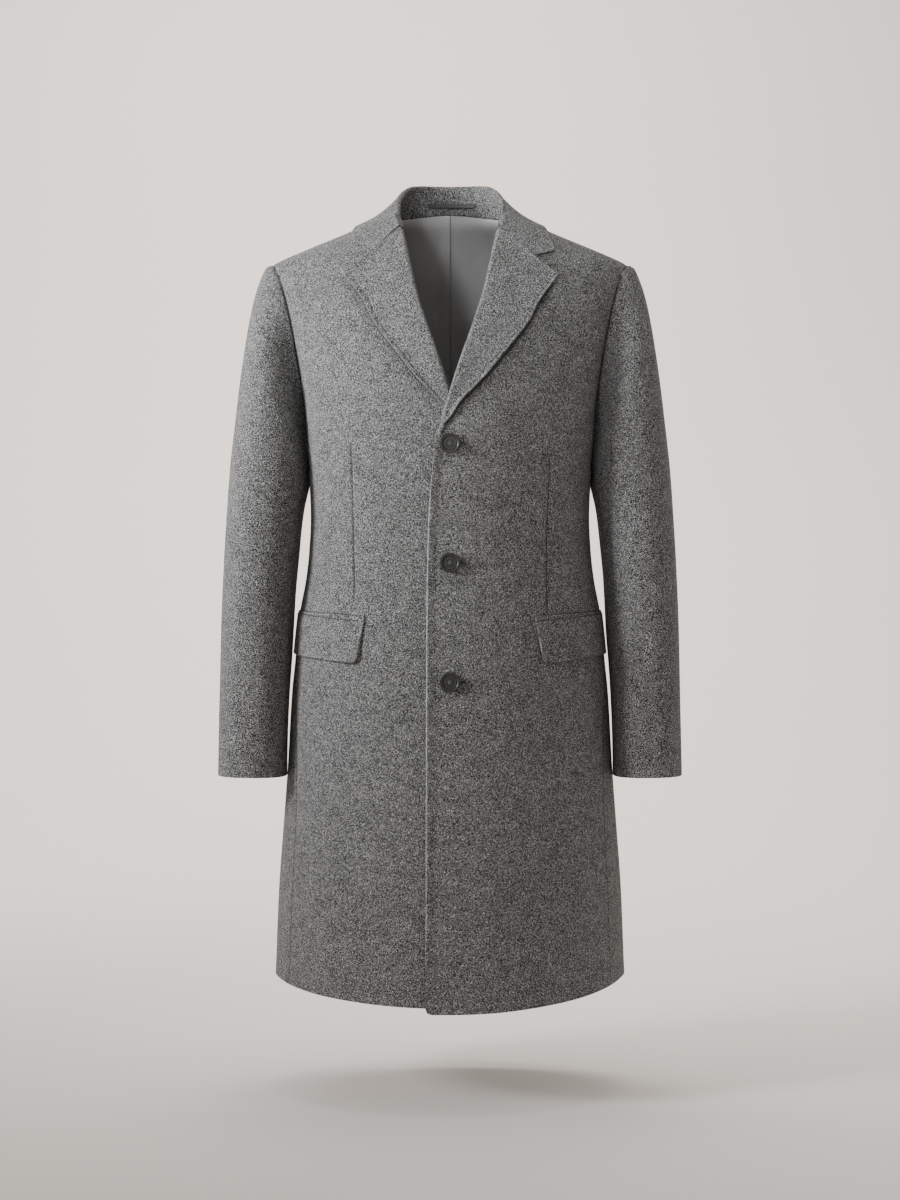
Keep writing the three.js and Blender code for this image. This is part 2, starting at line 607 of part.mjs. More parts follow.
// Half of the collar's grid: stand from the neck seam up to the fold, and fall down to its edge.
// t runs from the middle of the back (0) to the gorge (1)
function collarRow(t) {
  const fold = new THREE.Vector3(at(COLLAR_FOLD, 'x', t), at(COLLAR_FOLD, 'y', t), at(COLLAR_FOLD, 'z', t));
  const outwards = new THREE.Vector3(fold.x, fold.y - COLLAR_CENTRE_Y, 0).normalize();
  if (t === 0) outwards.set(0, 1, 0);
  const edgeAngle = at(COLLAR_EDGE, 'angle', t) * DEGREE;
  const edgeLift = COLLAR_CLEARANCE + COLLAR_WOOL / 2 + COLLAR_LAYS;
  const edge = bodyOffset(edgeAngle, at(COLLAR_EDGE, 'z', t), edgeLift);
  const neckAngle = mix(Math.PI, 90 * DEGREE, Math.min(t / COLLAR_SEAM_END, 1));
  const seat = neckEdge(neckAngle, -COLLAR_WOOL / 2).add(new THREE.Vector3(0, 0, SEAM_GAP + COLLAR_WOOL / 4));
  const roll = fold.clone().addScaledVector(outwards, COLLAR_FOOT.back);
  roll.z += COLLAR_FOOT.down;
  const taper = smooth(COLLAR_FOOT.from, COLLAR_FOOT.to, t);
  const foot = seat.lerp(roll, taper);
  const below = fold.clone().add(new THREE.Vector3(0, 0, -COLLAR_ROLL));
  const inside = below.clone().addScaledVector(outwards, -COLLAR_ROLL);
  const outside = below.clone().addScaledVector(outwards, COLLAR_ROLL);
  const row = steps(2).map((u) => foot.clone().lerp(inside, u));
  row.push(fold.clone());
  const sag = smooth(COLLAR_SAG_FROM, 1, t);
  const straight = outside.clone().lerp(edge, COLLAR_CORNER);
  const notch = bodyOffset(angleAtX(NOTCH.x, NOTCH.z), NOTCH.z, COLLAR_CLEARANCE + COLLAR_WOOL / 2 + 0.3);
  const bend = notch.sub(straight).multiplyScalar(sag ** 2);
  for (const u of [0, 0.2, 0.4, COLLAR_CORNER, 0.8, 1]) {
    const point = outside.clone().lerp(edge, u);
    point.addScaledVector(bend, u < COLLAR_CORNER ? u / COLLAR_CORNER : (1 - u) / (1 - COLLAR_CORNER));
    row.push(point.z < NECK_POINT_Z ? keepClear(point, COLLAR_CLEARANCE + COLLAR_WOOL / 2) : point);
  }
  return row;
}

// Two faces, half a thickness to each side of a grid of middle points
function thicken(grid, thick) {
  const rows = grid.length;
  const cols = grid[0].length;
  const offset = (sign) => grid.map((row, i) => row.map((point, j) => {
    const alongRow = row[Math.min(j + 1, cols - 1)].clone().sub(row[Math.max(j - 1, 0)]);
    const alongCol = grid[Math.min(i + 1, rows - 1)][j].clone().sub(grid[Math.max(i - 1, 0)][j]);
    return point.clone().addScaledVector(alongRow.cross(alongCol).normalize(), (sign * thick) / 2);
  }));
  return [offset(1), offset(-1)];
}

const collarHalf = steps(16).map((t) => collarRow(t));
const collarGrid = [...mirrored(collarHalf.slice(1)).reverse(), ...collarHalf];
add('collar', wall(...thicken(collarGrid, COLLAR_WOOL)), wool);

// A flap with a round lower front corner, hung from the pocket's slanting line
function flap() {
  const outer = [];
  const inner = [];
  const along = FLAP_STATIONS.map((d) => d / FLAP_LENGTH);
  for (const v of steps(6)) {
    const spots = along.map((u) => {
      const top = mix(FLAP.topFront, FLAP.topBack, u);
      const inCorner = Math.max(FLAP_CORNER - u * FLAP_LENGTH, 0);
      const round = FLAP_CORNER - Math.sqrt(FLAP_CORNER ** 2 - inCorner ** 2);
      const z = top - v * (FLAP.drop - round);
      const frontAngle = angleAtX(mix(FLAP.front, FLAP.frontLow, v), z);
      return [mix(frontAngle, FLAP.backAngle * DEGREE, u), z];
    });
    const lift = (k) => LAY_GAP + FLAP_STAND_OFF * v ** 1.5 * (1 - FLAP_BACK_CLOSE * along[k]);
    outer.push(spots.map(([angle, z], k) => bodyOffset(angle, z, lift(k) + FLAP_WOOL)));
    inner.push(spots.map(([angle, z], k) => bodyOffset(angle, z, lift(k))));
  }
  return [outer, inner];
}

// The welt along the flap's top edge
function welt() {
  const outer = [];
  const inner = [];
  for (const v of steps(2)) {
    const spots = steps(10).map((u) => {
      const z = mix(FLAP.topFront, FLAP.topBack, u) + SEAM_GAP + v * mix(WELT_FRONT, WELT_BACK, u);
      return [mix(angleAtX(FLAP.front, z), FLAP.backAngle * DEGREE, u), z];
    });
    outer.push(spots.map(([angle, z]) => bodyOffset(angle, z, LAY_GAP + WELT_WOOL)));
    inner.push(spots.map(([angle, z]) => bodyOffset(angle, z, LAY_GAP)));
  }
  return [outer, inner];
}

addPair('pocket_flap', ...flap(), wool);
addPair('pocket_welt', ...welt(), wool);

const wasm = await Module();
wasm.setup();

function solid(geometry) {
  const plain = geometry.clone();
  for (const name of ['normal', 'uv']) plain.deleteAttribute(name);
  const merged = mergeVertices(plain, 0.001);
  return new wasm.Manifold(new wasm.Mesh({
    numProp: 3,
    vertProperties: new Float32Array(merged.attributes.position.array),
    triVerts: new Uint32Array(merged.index.array),
  }));
}

function fromSolid(shape) {
  const mesh = shape.getMesh();
  const geometry = new THREE.BufferGeometry();
  geometry.setAttribute('position', new THREE.Float32BufferAttribute(mesh.vertProperties, 3));
  geometry.setIndex(Array.from(mesh.triVerts));
  geometry.computeVertexNormals();
  return geometry;
}

// A dished button with a raised rim, four holes and a thread shank behind it; its axis is +Y
function buttonGeometry() {
  const profile = [
    [0, -BUTTON_SHANK], [BUTTON_SHANK_RADIUS, -BUTTON_SHANK], [BUTTON_SHANK_RADIUS, 0],
    [BUTTON_RADIUS - 3, 0], [BUTTON_RADIUS - 0.8, 0.8], [BUTTON_RADIUS, 2], [BUTTON_RADIUS - 0.5, 3.4],
    [BUTTON_RADIUS - 1.7, BUTTON_THICK], [BUTTON_RADIUS - 3.4, BUTTON_THICK - 0.2],
    [BUTTON_RADIUS - 4.8, 2.9], [BUTTON_RADIUS - 7, 2.4], [0, 2.3],
  ];
  const body = solid(new THREE.LatheGeometry(profile.map(([r, h]) => new THREE.Vector2(r, h)), 20));
  let cut = body;
  for (const [sx, sz] of [[1, 1], [1, -1], [-1, 1], [-1, -1]]) {
    const hole = new THREE.CylinderGeometry(BUTTON_HOLE, BUTTON_HOLE, BUTTON_THICK, 6);
    hole.translate(sx * BUTTON_HOLE_SPREAD, BUTTON_THICK / 2 + 0.6, sz * BUTTON_HOLE_SPREAD);
    cut = cut.subtract(solid(hole));
  }
  return fromSolid(cut);
}

for (const [name, z] of Object.entries(BUTTON_HEIGHTS)) {
  const button = new THREE.Mesh(buttonGeometry(), horn);
  const normal = bodyNormal(0, z);
  button.quaternion.setFromUnitVectors(new THREE.Vector3(0, 1, 0), normal);
  button.position.copy(bodyOffset(0, z, topLift(0, z) + BUTTON_GAP + BUTTON_SHANK));
  button.name = `button_${name}`;
  coat.add(button);
}

// Satin lining of the back, pleated down the middle, from side seam to side seam
function lining() {
  const rows = [
    HEM_Z + LINING_HEM_UP, ...skirtRows.slice(2), ...armholeRows.filter((_, k) => k % 2 === 0),
    ...shoulderRows.slice(0, -1), NECK_POINT_Z,
  ];
  const outer = [];
  const inner = [];
  for (const z of rows) {
    const seam = outerAngle(z, true) + LINING_SEAM_IN * DEGREE;
    const angles = [
      ...steps(6).map((u) => mix(seam, 176 * DEGREE, u)),
      ...PLEAT_ANGLES.map((degrees) => degrees * DEGREE),
      ...steps(6).map((u) => mix(184 * DEGREE, 360 * DEGREE - seam, u)),
    ];
    const spots = angles.map((angle) => [angle, z + napeShift(angle, z)]);
    const lift = (angle) => {
      const past = smooth(PLEAT_EDGE.from, PLEAT_EDGE.to, angle / DEGREE);
      const fade = 1 - smooth(PLEAT_EDGE.to, PLEAT_EDGE.fades, angle / DEGREE);
      return -WOOL - LINING_CLEAR - PLEAT_DEPTH * past * fade;
    };
    outer.push(spots.map(([angle, height]) => bodyOffset(angle, height, lift(angle))));
    inner.push(spots.map(([angle, height]) => bodyOffset(angle, height, lift(angle) - SATIN)));
  }
  return wall(outer, inner);
}

add('back_lining', lining(), satin);

// Middle of the collar stand's wall at a distance x from the middle of the back, at height z
function standPoint(x, z) {
  let low = 0;
  let high = 0.4;
  let point = null;
  for (let pass = 0; pass < 20; pass += 1) {
    const t = (low + high) / 2;
    const [foot, , top] = collarRow(t);
    point = foot.clone().lerp(top, (z - foot.z) / (top.z - foot.z));
    if (point.x < Math.abs(x)) low = t;
    else high = t;
  }
  return point;
}

// The hanger loop, a flat satin strip sewn at its two ends inside the collar stand
function hangerLoop() {
  const place = (x, z, depth) => new THREE.Vector3(x, standPoint(x, z).y - COLLAR_WOOL / 2 - depth, z);
  const near = [];
  const far = [];
  for (const v of [-0.5, 0.5]) {
    const xs = steps(12).map((u) => LOOP_MIDDLE + mix(-LOOP_HALF, LOOP_HALF, u));
    const share = (x) => 1 - ((x - LOOP_MIDDLE) / LOOP_HALF) ** 2;
    const slack = (x) => LOOP_SLACK.ends + LOOP_SLACK.middle * share(x);
    near.push(xs.map((x) => place(x, LOOP_Z + v * LOOP_HEIGHT, slack(x))));
    far.push(xs.map((x) => place(x, LOOP_Z + v * LOOP_HEIGHT, slack(x) + LOOP_THICK)));
  }
  return wall(near, far);
}

add('hanger_loop', hangerLoop(), satin);

export default coat;
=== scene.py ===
# %% [markdown]
# # Wool overcoat
# A single-breasted overcoat in mid-grey melange wool, filled out as if worn.
# The solids give its true form. Here each piece of cloth is a thin shell on that form,
# with rolled edges, seams, darts, soft creases, stitched buttonholes and threaded buttons.

import bpy
import numpy as np
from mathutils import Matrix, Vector


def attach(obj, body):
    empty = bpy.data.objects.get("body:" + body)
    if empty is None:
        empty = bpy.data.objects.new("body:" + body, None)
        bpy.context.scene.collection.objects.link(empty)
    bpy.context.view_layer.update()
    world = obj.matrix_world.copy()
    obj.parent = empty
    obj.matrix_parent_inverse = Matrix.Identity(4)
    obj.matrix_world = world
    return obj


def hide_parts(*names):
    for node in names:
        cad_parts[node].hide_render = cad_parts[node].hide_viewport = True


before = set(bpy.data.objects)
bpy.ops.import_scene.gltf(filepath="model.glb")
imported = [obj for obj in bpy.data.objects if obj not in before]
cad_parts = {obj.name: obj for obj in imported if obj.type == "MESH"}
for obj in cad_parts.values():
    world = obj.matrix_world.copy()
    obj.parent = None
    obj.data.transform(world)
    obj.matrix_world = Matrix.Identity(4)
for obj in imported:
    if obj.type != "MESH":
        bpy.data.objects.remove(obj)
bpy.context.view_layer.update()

MM = 0.001
DEGREE = np.pi / 180
SIDES = (("left", False), ("right", True))

# %% [markdown]
# ## Camera
# The photograph is taken level with the waist. Shoulders and cuffs are only slightly
# enlarged where they come forward, so the camera stands 2.7 m away with a long lens.

# %% Camera
CAMERA_AWAY = 2.7
CAMERA_HEIGHT = -0.482
FOCUS_PX = 2093
PHOTO_HEIGHT_PX = 1200

camera_data = bpy.data.cameras.new("camera")
camera_data.sensor_fit = "VERTICAL"
camera_data.sensor_height = 36
camera_data.lens = 36 * FOCUS_PX / PHOTO_HEIGHT_PX
camera = bpy.data.objects.new("camera", camera_data)
camera.location = (0, -CAMERA_AWAY, CAMERA_HEIGHT)
camera.rotation_euler = (np.pi / 2, 0, 0)
bpy.context.scene.collection.objects.link(camera)
bpy.context.scene.camera = camera

# %% [markdown]
# ## Numbers that the coat is cut from
# A tailor drafts a coat from a few measures at named heights. The same is done here:
# each table holds a measure at some heights, in millimetres, and a monotone cubic
# runs smoothly between them without overshooting.


# %% Tables
def table(names, rows):
    """One rising array for each named column."""
    columns = np.array(rows, float).T
    return dict(zip(names.split(), columns))


def at(source, name, where):
    """Monotone cubic through a column: the tangent at a row is the harmonic mean of the
    two slopes beside it, and 0 where they differ in sign."""
    xs, ys = next(iter(source.values())), source[name]
    where = np.clip(np.asarray(where, float), xs[0], xs[-1])
    i = np.clip(np.searchsorted(xs, where, "right") - 1, 0, len(xs) - 2)
    slope = np.diff(ys) / np.diff(xs)
    product = slope[:-1] * slope[1:]
    total = slope[:-1] + slope[1:]
    inner = np.where(product > 0, 2 * product / np.where(total == 0, 1, total), 0)
    tangent = np.concatenate([slope[:1], inner, slope[-1:]])
    step = xs[i + 1] - xs[i]
    u = (where - xs[i]) / step
    ends = (2 * u**3 - 3 * u**2 + 1) * ys[i] + (3 * u**2 - 2 * u**3) * ys[i + 1]
    return ends + (u**3 - 2 * u**2 + u) * step * tangent[i] + (u**3 - u**2) * step * tangent[i + 1]


BODY = table("z half front back side power", [
    (-990, 227.5, 164, 153, 23, 2.15), (-962, 226, 162, 152, 22, 2.15),
    (-855, 221.5, 156, 147, 20, 2.17), (-760, 214.5, 151, 141, 18, 2.2),
    (-700, 210, 148, 138, 16, 2.2), (-600, 204, 142, 135, 12, 2.22),
    (-562, 200, 140, 132, 10, 2.25), (-500, 194, 135, 124, 8, 2.25),
    (-457, 186, 130.5, 115, 7, 2.25), (-424, 182, 128, 109, 6, 2.25),
    (-378, 179.5, 127.5, 107, 5, 2.25), (-320.5, 181.9, 131.5, 114.5, 5, 2.33),
    (-288, 185.2, 133.5, 120, 5, 2.4), (-253, 187.4, 133, 126, 5, 2.5),
    (-229, 189.8, 130, 129, 5, 2.55), (-200, 194.6, 126, 130.5, 5, 2.55),
    (-170, 201.5, 119, 130.5, 6, 2.5), (-139, 210.5, 109, 128.5, 6, 2.45),
    (-110, 221.5, 98.5, 124, 6, 2.4), (-86, 231, 88, 119, 7, 2.35),
    (-67, 234, 79.5, 113, 8, 2.3),
    (-59, 233, 76, 110, 8, 2.3), (-51, 228, 72, 107.5, 8, 2.3),
    (-46, 220, 69.5, 105.8, 8.5, 2.3), (-41, 209, 67, 104, 9, 2.3),
    (-28, 179, 60, 99, 10, 2.3), (-13, 143, 51, 92.5, 11, 2.3),
    (0, 114, 41, 85.5, 13, 2.3), (8, 96, 34, 80.5, 14, 2.3),
    (13, 84, 29, 77.5, 15, 2.3), (30, 80, 20, 75, 15, 2.3),
])
SIDE_SEAM = table("z angle", [
    (-990, 66), (-855, 66.6), (-760, 67.3), (-700, 69.5), (-640, 72.5), (-600, 75.5),
    (-562, 79), (-500, 82), (-424, 84), (-378, 86), (-345, 88), (-320.5, 90),
])
ARMHOLE = table("z x", [
    (-320.5, 181.9), (-302, 183.2), (-281, 184.8), (-253, 186.4), (-229, 188.3),
    (-200, 191.6), (-170, 196), (-139, 201), (-110, 207), (-86, 213.5), (-67, 220), (-51, 228),
])
FRONT_LINE = table("z x", [
    (-990, -29), (-700, -28.5), (-500, -28), (-400, -26.5), (-340, -23), (-300, -19.5),
    (-281, -17.8), (-270, -13.5), (-248, -7.3), (-226, -0.6), (-206, 5.5), (-173.5, 16),
    (-134, 29.6), (-90.5, 42.3), (-47, 51.4), (-15, 58.8), (-7, 62.5), (4, 69), (13, 76),
])
LAPEL_EDGE = table("z x", [
    (-281, -15), (-270, -9.5), (-256, 2.5), (-240.5, 13.5), (-210, 41.8), (-170, 73.5),
    (-138.6, 96.9), (-108.8, 112), (-76.5, 135.8),
])
SLEEVE = table("t outX outZ inX inZ deep mid", [
    (0, 228, -51, 181.9, -320.5, 64, 6), (1, 236, -54, 182.4, -324, 65, 6),
    (2, 245.5, -73, 182.3, -329, 67, 6), (3, 252.5, -97, 182.6, -336, 69, 6),
    (4, 259, -130, 185, -347, 71, 5), (5, 265, -168, 188, -360, 73, 4),
    (6, 270.5, -208, 190.8, -378, 74, 3), (7, 276, -255, 193.5, -404, 74, 2),
    (8, 282, -310, 196, -440, 73, 0), (9, 286.5, -375, 199, -480, 71, -3),
    (10, 290, -440, 201.5, -520, 68, -7), (11, 292.5, -505, 204, -562, 65, -11),
    (12, 294, -575, 206.5, -610, 61, -15), (13, 295, -642, 208, -658, 58, -19),
    (14, 296, -705, 208.5, -706, 54.5, -22),
])
COLLAR_FOLD = table("t x y z", [
    (0, 0, 75, 64.5), (0.17, 30, 71, 64.5), (0.32, 48.5, 57, 61.5), (0.46, 60.5, 34, 51),
    (0.62, 67, 8, 34), (0.8, 67, -14, 15), (1, 61, -38, -8),
])
COLLAR_EDGE = table("t angle z", [
    (0, 180, 13), (0.2, 141, 12), (0.38, 117.5, 8), (0.52, 103, 3), (0.64, 91, -1),
    (0.74, 79.7, -6), (0.82, 73.3, -14), (0.92, 67.5, -29), (1, 64, -42.5),
])

WOOL, LAPEL_WOOL, SLEEVE_WOOL, FLAP_WOOL, SATIN = 2.4, 2.2, 2.2, 2.2, 1.0
SEAM_GAP, LAY_GAP = 0.3, 0.7
HEM_Z, HEM_FADE_Z, HEM_TURN, HEM_CURVE = -963, -700, 0.25, 1.1
UPPER_DROP, UNDER_DROP = 22, 15
UNDERARM_Z, SHOULDER_TIP_Z, NECK_POINT_Z, BREAK_Z = -320.5, -51, 13, -281
NAPE_RISE = 14
OVERLAP_LIFT, BREAK_LIFT = 3, 5.6
LAPEL_TIP, NOTCH, GORGE_TOP = (135.8, -76.5), (104.5, -50.6), (61, -7)


def smooth(low, high, value):
    """Rises from 0 at low to 1 at high, level at both ends."""
    u = np.clip((np.asarray(value, float) - low) / (high - low), 0, 1)
    return u * u * (3 - 2 * u)


def mix(a, b, share):
    return a + (b - a) * share


def bump(value, middle, width):
    """A soft ridge of height 1: a bell curve about its middle."""
    return np.exp(-(((value - middle) / width) ** 2))


def unit(v):
    return v / np.maximum(np.linalg.norm(v, axis=-1, keepdims=True), 1e-12)


# %% [markdown]
# ## Creases
# Flannel this heavy hangs nearly smooth. What shows is a dart on each front, a faint drag
# from the armholes, and long soft flutes in the skirt. Each is a trough or ridge placed one
# by one, in its own size, and the back has its own like them, uneven as on the front.

# %% Creases
# side of the middle (x), height, length up and down, width, and how far it stands out
FRONT_CREASES = [
    (-150, -640, 150, 20, 0.9), (-96, -760, 190, 24, -0.8), (-150, -840, 150, 22, -1.0),
    (-60, -880, 140, 20, 0.7), (70, -820, 180, 26, 0.8), (122, -700, 170, 22, -0.9),
    (160, -860, 140, 20, 0.9), (-78, -350, 90, 20, -0.5), (84, -370, 100, 22, -0.5),
    (-140, -215, 60, 14, -0.7), (142, -205, 58, 15, -0.8), (-30, -600, 130, 18, -0.5),
    (38, -520, 110, 18, -0.5), (-150, -420, 70, 12, 0.6), (152, -430, 76, 13, 0.6),
]
BACK_CREASES = [
    (-120, -420, 90, 24, -1.1), (114, -440, 100, 26, -1.0), (-60, -700, 210, 30, 0.9),
    (74, -760, 190, 28, 0.8), (-140, -820, 150, 24, -0.9), (150, -800, 160, 24, -1.0),
    (-90, -150, 60, 26, -0.8), (96, -160, 62, 24, -0.8), (30, -560, 120, 22, -0.6),
]
# x of each dart's line at some heights, top to bottom
DART_UNDER = table("z x", [(-490, 119), (-482, 119), (-395, 121), (-288, 123)])
DART_UPPER = table("z x", [(-500, 120), (-418, 120.5), (-371, 122), (-324, 124), (-289, 125)])


GROOVE_DEEP, GROOVE_WIDE, DIP_DEEP, DIP_WIDE = 1.5, 1.5, 0.5, 9
DART_FADE_LOW, DART_FADE_HIGH = 60, 6


def dart(x, z, line, low, high):
    """A stitched dart: a narrow groove on a broader soft dip, both bell curves over the
    distance from the dart's line, that fade at both ends."""
    away = x - at(line, "x", z)
    run = smooth(low, low + DART_FADE_LOW, z) * (1 - smooth(high - DART_FADE_HIGH, high, z))
    return -run * (GROOVE_DEEP * bump(away, 0, GROOVE_WIDE) + DIP_DEEP * bump(away, 0, DIP_WIDE))


def crease_lift(x, y, z):
    """How far the cloth stands out at a place on the body, in mm."""
    lift = np.zeros(np.broadcast(x, y, z).shape)
    ahead = 1 - smooth(-20, 30, y)
    for cx, cz, tall, wide, high in FRONT_CREASES:
        lift = lift + ahead * high * bump(x, cx, wide) * bump(z, cz, tall)
    for cx, cz, tall, wide, high in BACK_CREASES:
        lift = lift + (1 - ahead) * high * bump(x, cx, wide) * bump(z, cz, tall)
    return lift


# %% [markdown]
# ## Body surface
# A worn coat is close to an oval at every height, a little squarer than an ellipse and
# deeper in front or behind by turns. All panels lie on one such surface, and whatever lies
# on a panel is the same surface moved out, so layers never cross.


# %% Body surface
def body_point(angle, z):
    """Squared ellipse at height z: with s = |sin|/half and c = |cos|/depth, the radius is
    (s^n + c^n)^(-1/n). The angle runs from the middle of the front (-Y) to +X."""
    side, power = at(BODY, "side", z), at(BODY, "power", z)
    across, ahead = np.sin(angle), np.cos(angle)
    depth = np.where(ahead > 0, at(BODY, "front", z) + side, at(BODY, "back", z) - side)
    total = (np.abs(across) / at(BODY, "half", z)) ** power + (np.abs(ahead) / depth) ** power
    radius = total ** (-1 / power)
    z = np.broadcast_to(z, radius.shape)
    return np.stack([radius * across, side - radius * ahead, z], -1)


def body_normal(angle, z):
    round_ = body_point(angle + 0.004, z) - body_point(angle - 0.004, z)
    rise = body_point(angle, z + 0.5) - body_point(angle, z - 0.5)
    return unit(np.cross(round_, rise))


def body_offset(angle, z, lift):
    """The body surface moved out by lift, creases included."""
    angle, z = np.broadcast_arrays(angle, z)
    p = body_point(angle, z)
    out = lift + crease_lift(p[..., 0], p[..., 1], p[..., 2])
    return p + body_normal(angle, z) * np.asarray(out)[..., None]


def angle_at_x(x, z, back=False):
    side, power = at(BODY, "side", z), at(BODY, "power", z)
    share = np.minimum(np.abs(x) / at(BODY, "half", z), 1)
    depth = np.where(back, at(BODY, "back", z) - side, at(BODY, "front", z) + side)
    angle = np.arctan2(np.abs(x), depth * (1 - share**power) ** (1 / power))
    return np.sign(x) * np.where(back, np.pi - angle, angle)


def hem_shift(angle, z, drop):
    share = 1 - smooth(HEM_Z, HEM_FADE_Z, z)
    return -drop * share * np.maximum((np.cos(angle) - HEM_TURN) / (1 - HEM_TURN), 0) ** HEM_CURVE


def nape_shift(angle, z):
    share = smooth(SHOULDER_TIP_Z, NECK_POINT_Z, z)
    return NAPE_RISE * share * np.maximum(-np.cos(angle), 0) ** 1.5


def outer_angle(z, back):
    """Angle of a panel's outer edge: side seam, then armhole, then shoulder seam."""
    z = np.asarray(z, float)
    seam = np.where(z > UNDERARM_Z, 90.0, at(SIDE_SEAM, "angle", z)) * DEGREE
    hole = angle_at_x(at(ARMHOLE, "x", z), z, back)
    return np.where((z > UNDERARM_Z) & (z < SHOULDER_TIP_Z), hole, seam)


STACK_FROM, STACK_FULL, STACK_FADES, STACK_ENDS = -310, -268, -222, -150
OVERLAP_ENDS_Z, LIFT_FROM_X, LIFT_TO_X = -110, 28, 110


def top_lift(x, z):
    """How far the upper front stands off the under one, most over the under lapel."""
    stacked = smooth(STACK_FROM, STACK_FULL, z) * (1 - smooth(STACK_FADES, STACK_ENDS, z))
    below = 1 - smooth(STACK_FADES, OVERLAP_ENDS_Z, z)
    return (OVERLAP_LIFT * below + BREAK_LIFT * stacked) * (1 - smooth(LIFT_FROM_X, LIFT_TO_X, x))


# %% [markdown]
# ## Cloth shells
# Each piece of cloth is a grid of points through the middle of its thickness. The shell
# has a face on each side and a rim between them. A folded edge is round through its
# whole thickness, and a seam turns in with a small radius, which leaves a fine groove
# where two pieces meet.


# %% Shell maker
def grid_normal(mid):
    along = np.gradient(mid, axis=1)
    up = np.gradient(mid, axis=0)
    return unit(np.cross(along, up))


RIM_TURNS = 4


def shell(mid, thick, rims):
    """A closed shell round a grid of middle points.

    rims gives the rounding radius at the first column, last column, first row and last
    row. At a turn a of the rim, from 90 to 0 degrees, a point lies at
    (radius cos a - radius) past the edge and (thick/2 - radius + radius sin a) off the
    middle, and the other side mirrors it."""
    half = thick / 2
    left, right, low, high = [min(r, half * 0.98) for r in rims]
    normal = grid_normal(mid)
    turn = np.linspace(90, 0, RIM_TURNS) * DEGREE

    def side_rim(edge, inner, n, radius):
        out = unit(edge - inner)
        past = (radius * np.cos(turn) - radius)[None, :, None]
        off = (half - radius + radius * np.sin(turn))[None, :, None]
        return edge[:, None] + out[:, None] * past, n[:, None] * off

    first = side_rim(mid[:, 0], mid[:, 1], normal[:, 0], left)
    last = side_rim(mid[:, -1], mid[:, -2], normal[:, -1], right)
    centre = mid[:, 1:-1]
    offset = normal[:, 1:-1] * half
    # one loop for each row: first rim, front face, last rim, and back again behind
    top_mid = np.concatenate([first[0][:, ::-1], centre, last[0]], 1)
    top_off = np.concatenate([first[1][:, ::-1], offset, last[1]], 1)
    rows, cols = top_mid.shape[:2]

    def end_rows(i, j, radius, order):
        out = unit(top_mid[i] - top_mid[j])
        made = []
        for a in (turn if order else turn[::-1]):
            past = radius * np.cos(a) - radius
            scale = (half - radius + radius * np.sin(a)) / half
            made.append((top_mid[i] + out * past, top_off[i] * scale))
        return made

    start = end_rows(0, 1, low, False)
    stop = end_rows(-1, -2, high, True)
    mids = np.stack([m for m, _ in start] + list(top_mid[1:-1]) + [m for m, _ in stop])
    offs = np.stack([o for _, o in start] + list(top_off[1:-1]) + [o for _, o in stop])
    rows = len(mids)
    verts = np.concatenate([mids + offs, mids - offs], 1).reshape(-1, 3)
    width = 2 * cols
    i, j = np.meshgrid(np.arange(rows - 1), np.arange(cols - 1), indexing="ij")
    a = (i * width + j).ravel()
    front = np.stack([a, a + 1, a + width + 1, a + width], 1)
    b = a + cols
    behind = np.stack([b, b + width, b + width + 1, b + 1], 1)
    k = np.arange(rows - 1) * width
    close_first = np.stack([k, k + width, k + width + cols, k + cols], 1)
    e = k + cols - 1
    close_last = np.stack([e, e + cols, e + cols + width, e + width], 1)
    m = np.arange(cols - 1)
    close_low = np.stack([m, m + cols, m + cols + 1, m + 1], 1)
    n = (rows - 1) * width + m
    close_high = np.stack([n, n + 1, n + cols + 1, n + cols], 1)
    faces = np.concatenate([front, behind, close_first, close_last, close_low, close_high])
    return verts, faces


def mesh_object(name, verts, faces, material):
    """A smooth-shaded object from arrays of points in mm and faces."""
    mesh = bpy.data.meshes.new(name)
    mesh.vertices.add(len(verts))
    mesh.vertices.foreach_set("co", (verts * MM).ravel())
    mesh.loops.add(faces.size)
    mesh.loops.foreach_set("vertex_index", faces.ravel())
    mesh.polygons.add(len(faces))
    mesh.polygons.foreach_set("loop_start", np.arange(0, faces.size, faces.shape[1]))
    mesh.update(calc_edges=True)
    mesh.shade_smooth()
    mesh.materials.append(material)
    obj = bpy.data.objects.new(name, mesh)
    bpy.context.scene.collection.objects.link(obj)
    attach(obj, "root")
    return obj


def area_of(mid):
    """Area of a grid in square metres, for the print-out."""
    a, b, c, d = mid[:-1, :-1], mid[:-1, 1:], mid[1:, 1:], mid[1:, :-1]
    size = np.linalg.norm(np.cross(c - a, d - b), axis=-1) / 2
    return float(size.sum()) * MM * MM


def cloth(name, mid, thick, rims, material, node, mirror=False):
    """A shell that stands for the CAD node, or its mirror image across the middle."""
    if mirror:
        mid = mid * [-1, 1, 1]
    verts, faces = shell(mid, thick, rims)
    if mirror:
        faces = faces[:, ::-1]
    obj = mesh_object(name, verts, faces, material)
    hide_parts(node)
    print(f"{name}: {len(verts)} points, {len(faces)} faces, {area_of(mid):.3f} m2")
    return obj


# %% [markdown]
# ## Materials
# The wool is a melange flannel: dark, mid and pale fibres are mixed before spinning and
# then brushed, so the colour is speckled at about a millimetre, with soft paler
# and darker clouds. Noise patterns in object coordinates give both, run through all
# pieces without a break, and also raise the nap.


# %% Node helpers
def nodes_of(name):
    material = bpy.data.materials.new(name)
    material.use_nodes = True
    tree = material.node_tree
    shader = tree.nodes["Principled BSDF"]
    return material, tree, shader


